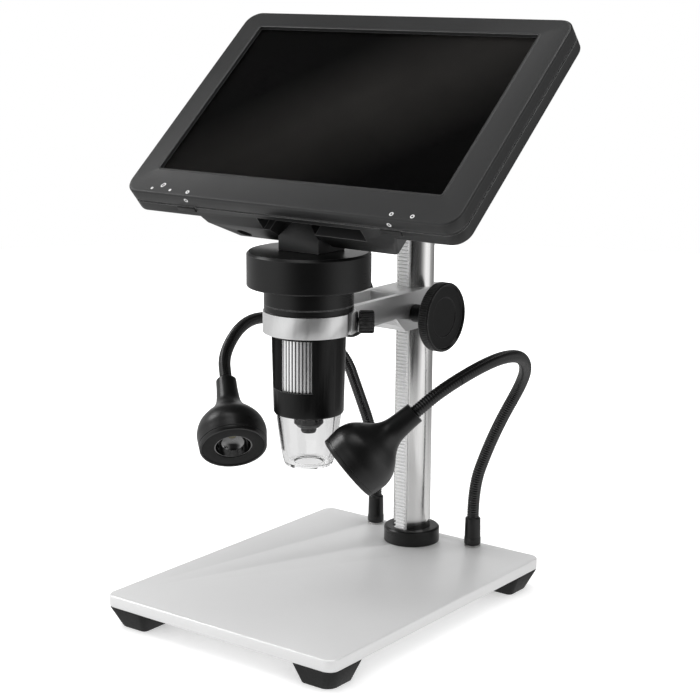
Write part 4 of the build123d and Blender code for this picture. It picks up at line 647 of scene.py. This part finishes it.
NOSE_BORE = 6.5
NOSE_WALL = 1.4
nose_end = BODY_BOTTOM - 24.0
nose_knee = BODY_BOTTOM - 16.5
nose_top = BODY_BOTTOM + 3.5
nose = rounded([
    (NOSE_BORE, nose_end, 0.25), (10.5, nose_end, 0.4), (11.2, nose_end + NOSE_WALL, 1.0),
    (11.1 + NOSE_WALL, nose_knee, 2.5), (13.3 + NOSE_WALL, BODY_BOTTOM, 0.4),
    (13.3 + NOSE_WALL, nose_top), (13.3, nose_top), (13.3, BODY_BOTTOM, 0.4), (11.1, nose_knee, 2.5),
    (9.8, nose_end + NOSE_WALL, 0.5), (NOSE_BORE, nose_end + NOSE_WALL, 0.25),
], closed=True)
piece("nose_cone_skin", *lathe(nose, 128), TUBE_FRAME, "microscope_head", CLEAR, "clear_plastic",
      ["nose_cone"])
paint(BOARD, "sensor_board", "main_board")
paint(WHITE_BOARD, "light_ring_board")

# ---------------------------------------------------------------- screen
paint(CASE, "hinge_block", "hinge_knuckle", "screen_back_shell")
soften("hinge_block", 0.35, 2)
soften("hinge_knuckle", 0.3, 2)
soften("screen_back_shell", 0.45, 2)
paint(COVER, "cover_glass")
paint(DISPLAY, "display_panel")
paint(BATTERY, "battery_cell")
paint(STEEL, "charging_socket")
paint(BLACK_PLASTIC, "left_key", "right_key")
soften("left_key", 0.15)
soften("right_key", 0.15)


def outer_loop(inset, level):
    width, height = SCREEN_SIZE
    return rectangle_loop(width - 2 * inset, height - 2 * inset, SCREEN_CORNER - inset, level)


def opening_loop(margin, level):
    width, height = OPENING
    corner = OPENING_CORNER + max(margin, 0)
    return rectangle_loop(width + 2 * margin, height + 2 * margin, corner, level, OPENING_CENTRE)


BEZEL_BACK = -6.2                # levels behind the bezel's front
SEAM_TOP = -5.7
BEZEL_FLOOR = -1.6
BEZEL_WALL = 2.2
SEAM_DEPTH = 0.6
EDGE = 0.65                      # chamfer of the bezel's front edge
bezel_loops = [
    outer_loop(BEZEL_WALL, BEZEL_BACK), outer_loop(SEAM_DEPTH, BEZEL_BACK),
    outer_loop(SEAM_DEPTH, SEAM_TOP), outer_loop(0.05, SEAM_TOP + 0.05),
    outer_loop(0.0, SEAM_TOP + 0.15), outer_loop(0.0, -EDGE - 0.15), outer_loop(0.04, -EDGE),
    outer_loop(EDGE, -0.04), outer_loop(EDGE + 0.15, 0.0), outer_loop(1.6, 0.0),
    opening_loop(1.25, 0.0), opening_loop(1.0, 0.05), opening_loop(0.85, 0.28),
    opening_loop(0.7, 0.3), opening_loop(0.3, 0.3), opening_loop(0.05, 0.2), opening_loop(0.0, 0.0),
    opening_loop(0.0, BEZEL_FLOOR), outer_loop(BEZEL_WALL, BEZEL_FLOOR),
]
piece("bezel_skin", *loft(bezel_loops), SCREEN_FRAME, "screen", CASE, "case_plastic",
      ["screen_bezel"], sharp=50.0)
gasket_loops = [outer_loop(0.4, BEZEL_BACK), outer_loop(0.4, SEAM_TOP), outer_loop(1.0, SEAM_TOP),
                outer_loop(1.0, BEZEL_BACK)]
piece("seam_gasket", *loft(gasket_loops), SCREEN_FRAME, "screen", BLACK_PLASTIC, "black_plastic")

MARK_LIFT = 0.02
MARK_STEPS = 28


def mark(outer, inner, x, y, length=0.0, angle=0.0):
    """Flat printed ring, or a stretched one, on the bezel's front."""
    vertices, faces = [], []
    for radius in (outer, inner):
        for k in range(MARK_STEPS):
            t = 2 * pi * k / MARK_STEPS
            px = radius * cos(t) + (length / 2 if cos(t) > 0 else -length / 2)
            py = radius * sin(t)
            vertices.append((x + px * cos(angle) - py * sin(angle),
                             y + px * sin(angle) + py * cos(angle), MARK_LIFT))
    for k in range(MARK_STEPS):
        n = (k + 1) % MARK_STEPS
        faces.append((k, n, MARK_STEPS + n, MARK_STEPS + k))
    return vertices, faces


def joined(parts):
    vertices, faces = [], []
    for part_vertices, part_faces in parts:
        start = len(vertices)
        vertices += part_vertices
        faces += [tuple(start + i for i in face) for face in part_faces]
    return vertices, faces


front_marks = joined([
    mark(0.70, 0.20, -74.5, -57.4), mark(0.95, 0.40, -69.2, -55.0, 0.9, 0.95),
    mark(0.70, 0.10, -63.5, -57.5), mark(1.0, 0.40, -52.9, -57.6),
    mark(1.0, 0.50, 58.4, -57.7), mark(1.0, 0.50, 68.8, -57.8),
])
piece("bezel_marks", *front_marks, SCREEN_FRAME, "screen", MARK, "case_plastic")
LOWER_WALL = frame_at(SCREEN_CENTRE - SCREEN_UP * SCREEN_SIZE[1] / 2, -SCREEN_UP, (1, 0, 0))
wall_marks = joined([mark(1.1, 0.55, -53.3, -2.4), mark(1.1, 0.50, 57.1, -3.7)])
piece("wall_marks", *wall_marks, LOWER_WALL, "screen", MARK, "case_plastic")


# ---------------------------------------------------------------- gooseneck lamps
def spline_line(points):
    """Points along one smooth curve through a route."""
    curve = bpy.data.curves.new("route", "CURVE")
    curve.dimensions = "3D"
    spline = curve.splines.new("NURBS")
    spline.points.add(len(points) - 1)
    for point, corner in zip(spline.points, points):
        point.co = (*corner, 1.0)
    spline.order_u = 3
    spline.use_endpoint_u = True
    spline.resolution_u = 40
    carrier = bpy.data.objects.new("route", curve)
    mesh = bpy.data.meshes.new_from_object(carrier)
    line = [vertex.co.copy() for vertex in mesh.vertices]
    bpy.data.objects.remove(carrier)
    bpy.data.meshes.remove(mesh)
    bpy.data.curves.remove(curve)
    return line


def evenly(line, step):
    """The same line with points a fixed distance apart, and their distances."""
    points, distances = [line[0]], [0.0]
    walked, target = 0.0, step
    for a, b in zip(line, line[1:]):
        length = (b - a).length
        while length > 0 and walked + length >= target:
            points.append(a.lerp(b, (target - walked) / length))
            distances.append(target)
            target += step
        walked += length
    return points, distances


NECK_RADIUS = 2.9
NECK_PITCH = 1.2
NECK_GROOVE = 0.30
NECK_CREST = 0.35                # share of the pitch at full radius
NECK_SEGMENTS = 28
RINGS_PER_RIB = 6


def ribbed_tube(points, distances):
    """Helically ribbed tube along points."""
    vertices, faces = [], []
    tangent = (points[1] - points[0]).normalized()
    side = tangent.orthogonal().normalized()
    for i, (point, distance) in enumerate(zip(points, distances)):
        ahead = points[min(i + 1, len(points) - 1)] - points[max(i - 1, 0)]
        new_tangent = ahead.normalized()
        side = (tangent.rotation_difference(new_tangent) @ side).normalized()
        tangent = new_tangent
        other = tangent.cross(side)
        for k in range(NECK_SEGMENTS):
            angle = 2 * pi * k / NECK_SEGMENTS
            phase = (distance / NECK_PITCH - k / NECK_SEGMENTS) % 1.0
            dip = max(0.0, abs(phase - 0.5) * 2 - NECK_CREST) / (1 - NECK_CREST)
            reach = NECK_RADIUS - NECK_GROOVE * dip ** 1.5
            vertices.append(point + (side * cos(angle) + other * sin(angle)) * reach)
    rows = len(points)
    for i in range(rows - 1):
        for k in range(NECK_SEGMENTS):
            n = (k + 1) % NECK_SEGMENTS
            a, b = i * NECK_SEGMENTS, (i + 1) * NECK_SEGMENTS
            faces.append((a + k, a + n, b + n, b + k))
    faces.append(tuple(range(NECK_SEGMENTS)))
    faces.append(tuple((rows - 1) * NECK_SEGMENTS + k for k in range(NECK_SEGMENTS)))
    return vertices, faces


def smooth_through(points, steps=10):
    """Catmull-Rom points through (radius, height) corners."""
    padded = [points[0]] + points + [points[-1]]
    line = []
    for i in range(1, len(padded) - 2):
        p0, p1, p2, p3 = (Vector(p) for p in padded[i - 1:i + 3])
        for k in range(steps):
            t = k / steps
            spot = 0.5 * (2 * p1 + (p2 - p0) * t + (2 * p0 - 5 * p1 + 4 * p2 - p3) * t * t
                          + (3 * p1 - p0 - 3 * p2 + p3) * t ** 3)
            line.append((spot.x, spot.y))
    line.append(points[-1])
    return line


# distances back from the lamp's face
RING_BACK = 1.6
BOARD_FACE = 7.8
BOARD_BACK = 9.0
TAIL_SEAT = 30.0
TAIL_RADIUS = 4.8
shell_rim = [(15.4, 0.3), (15.5, 1.95), (15.2, 2.05), (15.2, 2.3)]
shell_bell = smooth_through([
    (15.6, 2.45), (15.85, 5.0), (16.0, 8.7), (14.7, 13.2), (12.0, 16.9), (8.4, 20.6), (5.95, 25.0),
    (5.1, 31.0), (TAIL_RADIUS, LAMP_LENGTH - 0.6),
])
shell_tail = rounded([
    (TAIL_RADIUS, LAMP_LENGTH - 0.6), (TAIL_RADIUS, LAMP_LENGTH, 0.3), (2.95, LAMP_LENGTH, 0.2),
    (2.95, TAIL_SEAT),
])[1:]
shell_inside = [(1.5, TAIL_SEAT), (1.5, BOARD_BACK), (11, BOARD_BACK), (11, RING_BACK),
                (14.4, RING_BACK), (14.4, 0.2), (14.6, 0.0), (15.2, 0.0)]
shell_outline = shell_rim + shell_bell + shell_tail + shell_inside
ring_outline = rounded([(8.65, 0.4, 0.2), (14.35, 0.4, 0.15), (14.35, RING_BACK), (8.65, RING_BACK)],
                       closed=True)
bowl_inside = smooth_through([(2.6, BOARD_FACE), (4.9, 6.6), (6.67, 4.86), (7.6, 2.9), (8.1, 0.8)], 6)
bowl_outside = smooth_through([(8.6, 0.8), (8.1, 2.9), (7.17, 4.86), (5.4, 6.8), (3.1, BOARD_FACE)], 6)
led_outline = rounded([(0, 6.2), (2.0, 6.2, 1.4), (2.0, BOARD_FACE), (10.95, BOARD_FACE, 0.1),
                       (10.95, BOARD_BACK), (0, BOARD_BACK)], steps=6)
sleeve_outline = rounded([        # heights above the stage plate
    (0, 9.9), (2.05, 9.9), (2.05, 0.9), (3.6, 0.9, 0.1), (4.1, 1.4, 0.25), (4.05, 4.2, 0.1),
    (3.9, 4.4, 0.1), (3.7, 14.0, 0.3), (3.2, 14.5, 0.3), (0, 14.5),
])

for side, name in ((1, "right"), (-1, "left")):
    flip = Vector((side, 1, 1))
    axis = LAMP_AXIS * flip
    face = LAMP_FACE * flip + (LEFT_LAMP_DROP if side < 0 else Vector())
    neck_end = face + axis * LAMP_LENGTH
    corners = [Vector(point) * flip + Vector((0, 0, STAGE_TOP)) for point in ROUTE]
    last_bend = neck_end + axis * LAST_RUN
    run = corners[-1] - last_bend
    flex_lead = ROUND_SHARE * min(run.length, LAST_RUN) + FLEX_LEAD
    flex_start = last_bend + run.normalized() * flex_lead
    line = spline_line(corners + [last_bend, neck_end, neck_end - axis * LAMP_INSIDE])
    points, distances = evenly(line, NECK_PITCH / RINGS_PER_RIB)
    cut = min(range(len(points)), key=lambda i: (points[i] - flex_start).length)
    neck_mesh = ribbed_tube(points[:cut + 1], distances[:cut + 1])
    piece(f"{name}_neck_skin", *neck_mesh, Matrix.Identity(4), f"{name}_arm", NECK_BLACK,
          "neck_cover", [f"{name}_gooseneck"], sharp=80.0)
    flex_mesh = ribbed_tube(points[cut:], distances[cut:])
    flex = piece(f"{name}_flex_skin", *flex_mesh, Matrix.Identity(4), None, NECK_BLACK,
                 "neck_cover", sharp=80.0)
    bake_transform(flex)
    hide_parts(f"{name}_flex_end")
    socket = upright(corners[0].x, corners[0].y, STAGE_TOP)
    piece(f"{name}_sleeve_skin", *lathe(sleeve_outline, 64), socket, f"{name}_arm", LAMP_BLACK,
          "lamp_plastic")
    lamp = frame_at(face, axis, (0, 0, 1))
    body = f"{name}_lamp"
    piece(f"{name}_shell_skin", *lathe(shell_outline, 112), lamp, body, LAMP_BLACK, "lamp_plastic",
          [f"{name}_lamp_shell"])
    piece(f"{name}_ring_skin", *lathe(ring_outline, 96), lamp, body, RING_GREY, "lamp_plastic",
          [f"{name}_lamp_ring"])
    piece(f"{name}_reflector_skin", *lathe(bowl_inside + bowl_outside, 96), lamp, body, CHROME,
          "reflector_chrome", [f"{name}_lamp_reflector"], sharp=60.0)
    piece(f"{name}_led_skin", *lathe(led_outline, 64), lamp, body, EMITTER, "led_board",
          [f"{name}_lamp_led"])


# ---------------------------------------------------------------- floor, world, lights, camera
CAMERA_PLACE = Vector((458.72, -597.61, 287.03)) * MM
CAMERA_YAW = radians(36.86)
CAMERA_PITCH = radians(12.37)
CAMERA_ROLL = radians(0.37)
FOCAL_LENGTH = 87.94
SENSOR_WIDTH = 36.0
FLOOR_RADIUS = 1.1               # metres, as all lengths below
FLOOR_NEAR = (0.08, 0.40)        # in mirrors: plain paper before this stretch, the studio after
FLOOR_FADE = (0.25, 0.70)        # seen directly: the paper grows white over this stretch
SHADOWED_GLOW = 0.40             # its own light before that, where it takes the shadow
AMBIENT = 0.95
TOWARDS_CAMERA = (0.62, -0.785, 0.0)
CAMERA_RIGHT = (0.785, 0.62, 0.0)
STUDIO = [                       # (degrees round from the camera to its right, level in mirrors)
    (-180, 0.80), (-150, 0.62), (-110, 0.66), (-75, 1.0), (-50, 1.0), (-33, 0.30), (-20, 0.06),
    (0, 0.04), (20, 0.06), (37, 0.40), (54, 0.95), (80, 0.90), (98, 0.34), (125, 0.18), (152, 0.30),
    (180, 0.80),
]
MIDDLE = Vector((0, 0, 0.13))    # where the softboxes aim
SOFTBOXES = [                    # name, place, width, height, power, seen in mirrors
    ("left_softbox", (-0.74, -0.24, 0.70), 0.38, 0.36, 2.4, True),
    ("left_wall", (-0.95, -0.60, 0.55), 1.8, 1.6, 1.8, False),
    ("right_wall", (0.95, 0.25, 0.70), 2.2, 1.8, 1.3, False),
    ("overhead", (-0.10, 0.0, 1.25), 1.8, 1.8, 2.5, False),
    ("top_strip", (0.05, 0.10, 0.95), 0.50, 0.16, 1.1, True),
    ("front_fill", (0.45, -0.95, 0.45), 0.9, 0.6, 1.5, False),
]


def mirrored_level(graph, vector):
    """How bright the studio is in mirrors: dark in front, panels at the sides, pale behind."""
    front = graph.dot(vector, TOWARDS_CAMERA)
    right = graph.dot(vector, CAMERA_RIGHT)
    angle = graph.maths("ARCTAN2", right, front)
    turn = graph.maths("MULTIPLY_ADD", angle, 1 / (2 * pi), 0.5)
    ramp = graph.put("ShaderNodeValToRGB", {0: turn})
    stops = ramp.color_ramp.elements
    while len(stops) < len(STUDIO):
        stops.new(0.5)
    for stop, (degrees_round, level) in zip(stops, STUDIO):
        stop.position = degrees_round / 360 + 0.5
        stop.color = grey(level)
    return ramp.outputs[0]


def make_floor():
    """Round sheet of pale paper that keeps the object's shadow and fades into the white studio."""
    bpy.ops.mesh.primitive_circle_add(vertices=96, radius=FLOOR_RADIUS, fill_type="NGON")
    floor = bpy.context.object
    floor.name = "floor"
    material = bpy.data.materials.new("floor_paper")
    material.use_nodes = True
    graph = Graph(material.node_tree)
    shader = shader_of(material)
    shader.inputs["Base Color"].default_value = grey(0.80)
    shader.inputs["Roughness"].default_value = 0.9
    shader.inputs["Specular IOR Level"].default_value = 0.1
    rays = graph.put("ShaderNodeLightPath").outputs
    seen = graph.maths("MAXIMUM", rays["Is Camera Ray"], rays["Is Transmission Ray"])
    coordinates = graph.coordinates()
    distance = graph.put("ShaderNodeVectorMath", {0: coordinates}, operation="LENGTH").outputs["Value"]
    white = graph.remap(distance, *FLOOR_FADE, SHADOWED_GLOW, 1.0)
    glow = graph.put("ShaderNodeEmission", {"Strength": graph.maths("MULTIPLY", seen, white)})
    total = graph.put("ShaderNodeAddShader", {0: shader.outputs[0], 1: glow.outputs[0]})
    far = graph.remap(distance, *FLOOR_NEAR, 0.0, 1.0)
    level = graph.blend(far, grey(0.75), mirrored_level(graph, coordinates))
    mirror = graph.put("ShaderNodeEmission", {"Color": level})
    shaders = {0: rays["Is Glossy Ray"], 1: total.outputs[0], 2: mirror.outputs[0]}
    mixed = graph.put("ShaderNodeMixShader", shaders)
    output = material.node_tree.nodes["Material Output"]
    graph.feed(output.inputs["Surface"], mixed.outputs[0])
    floor.data.materials.append(material)


def make_world():
    """White where it is seen directly, shaped for mirrors, and a soft even light on the object."""
    world = bpy.data.worlds.new("studio")
    world.use_nodes = True
    bpy.context.scene.world = world
    graph = Graph(world.node_tree)
    rays = graph.put("ShaderNodeLightPath").outputs
    direction = graph.put("ShaderNodeTexCoord").outputs["Generated"]
    height = graph.axes(direction)[2]
    band = graph.remap(height, 0.26, 0.60, 1.0, 0.15)
    # a bright patch straight above, for the faces that lie level
    above = graph.remap(height, 0.88, 0.97, 0.0, 1.8)
    mirrored = graph.maths("MULTIPLY_ADD", mirrored_level(graph, direction), band, above)
    seen = graph.maths("MAXIMUM", rays["Is Camera Ray"], rays["Is Transmission Ray"])
    glossy = graph.maths("MULTIPLY", rays["Is Glossy Ray"], mirrored)
    direct = graph.maths("MAXIMUM", seen, rays["Is Glossy Ray"])
    ambient = graph.maths("MULTIPLY", graph.maths("SUBTRACT", 1.0, direct), AMBIENT)
    background = world.node_tree.nodes["Background"]
    background.inputs["Color"].default_value = (1, 1, 1, 1)
    strength = graph.maths("ADD", graph.maths("MAXIMUM", seen, glossy), ambient)
    graph.feed(background.inputs["Strength"], strength)


def softbox(name, place, width, height, power, mirrored):
    light = bpy.data.lights.new(name, "AREA")
    light.shape = "RECTANGLE"
    light.size = width
    light.size_y = height
    light.energy = power
    holder = bpy.data.objects.new(name, light)
    bpy.context.scene.collection.objects.link(holder)
    holder.rotation_euler = (MIDDLE - Vector(place)).to_track_quat("-Z", "Y").to_euler()
    holder.location = place
    holder.visible_glossy = mirrored


def make_camera():
    forward = Vector((-sin(CAMERA_YAW) * cos(CAMERA_PITCH), cos(CAMERA_YAW) * cos(CAMERA_PITCH),
                      -sin(CAMERA_PITCH)))
    level = Vector((cos(CAMERA_YAW), sin(CAMERA_YAW), 0))
    above = level.cross(forward)
    right = level * cos(CAMERA_ROLL) + above * sin(CAMERA_ROLL)
    up = above * cos(CAMERA_ROLL) - level * sin(CAMERA_ROLL)
    data = bpy.data.cameras.new("camera")
    data.lens = FOCAL_LENGTH
    data.sensor_width = SENSOR_WIDTH
    data.clip_start = 0.01
    data.clip_end = 200
    holder = bpy.data.objects.new("camera", data)
    bpy.context.scene.collection.objects.link(holder)
    matrix = Matrix((right, up, -forward)).transposed().to_4x4()
    matrix.translation = CAMERA_PLACE
    holder.matrix_world = matrix
    bpy.context.scene.camera = holder


make_camera()
make_floor()
make_world()
for box in SOFTBOXES:
    softbox(*box)
bpy.context.scene.view_settings.view_transform = "Standard"
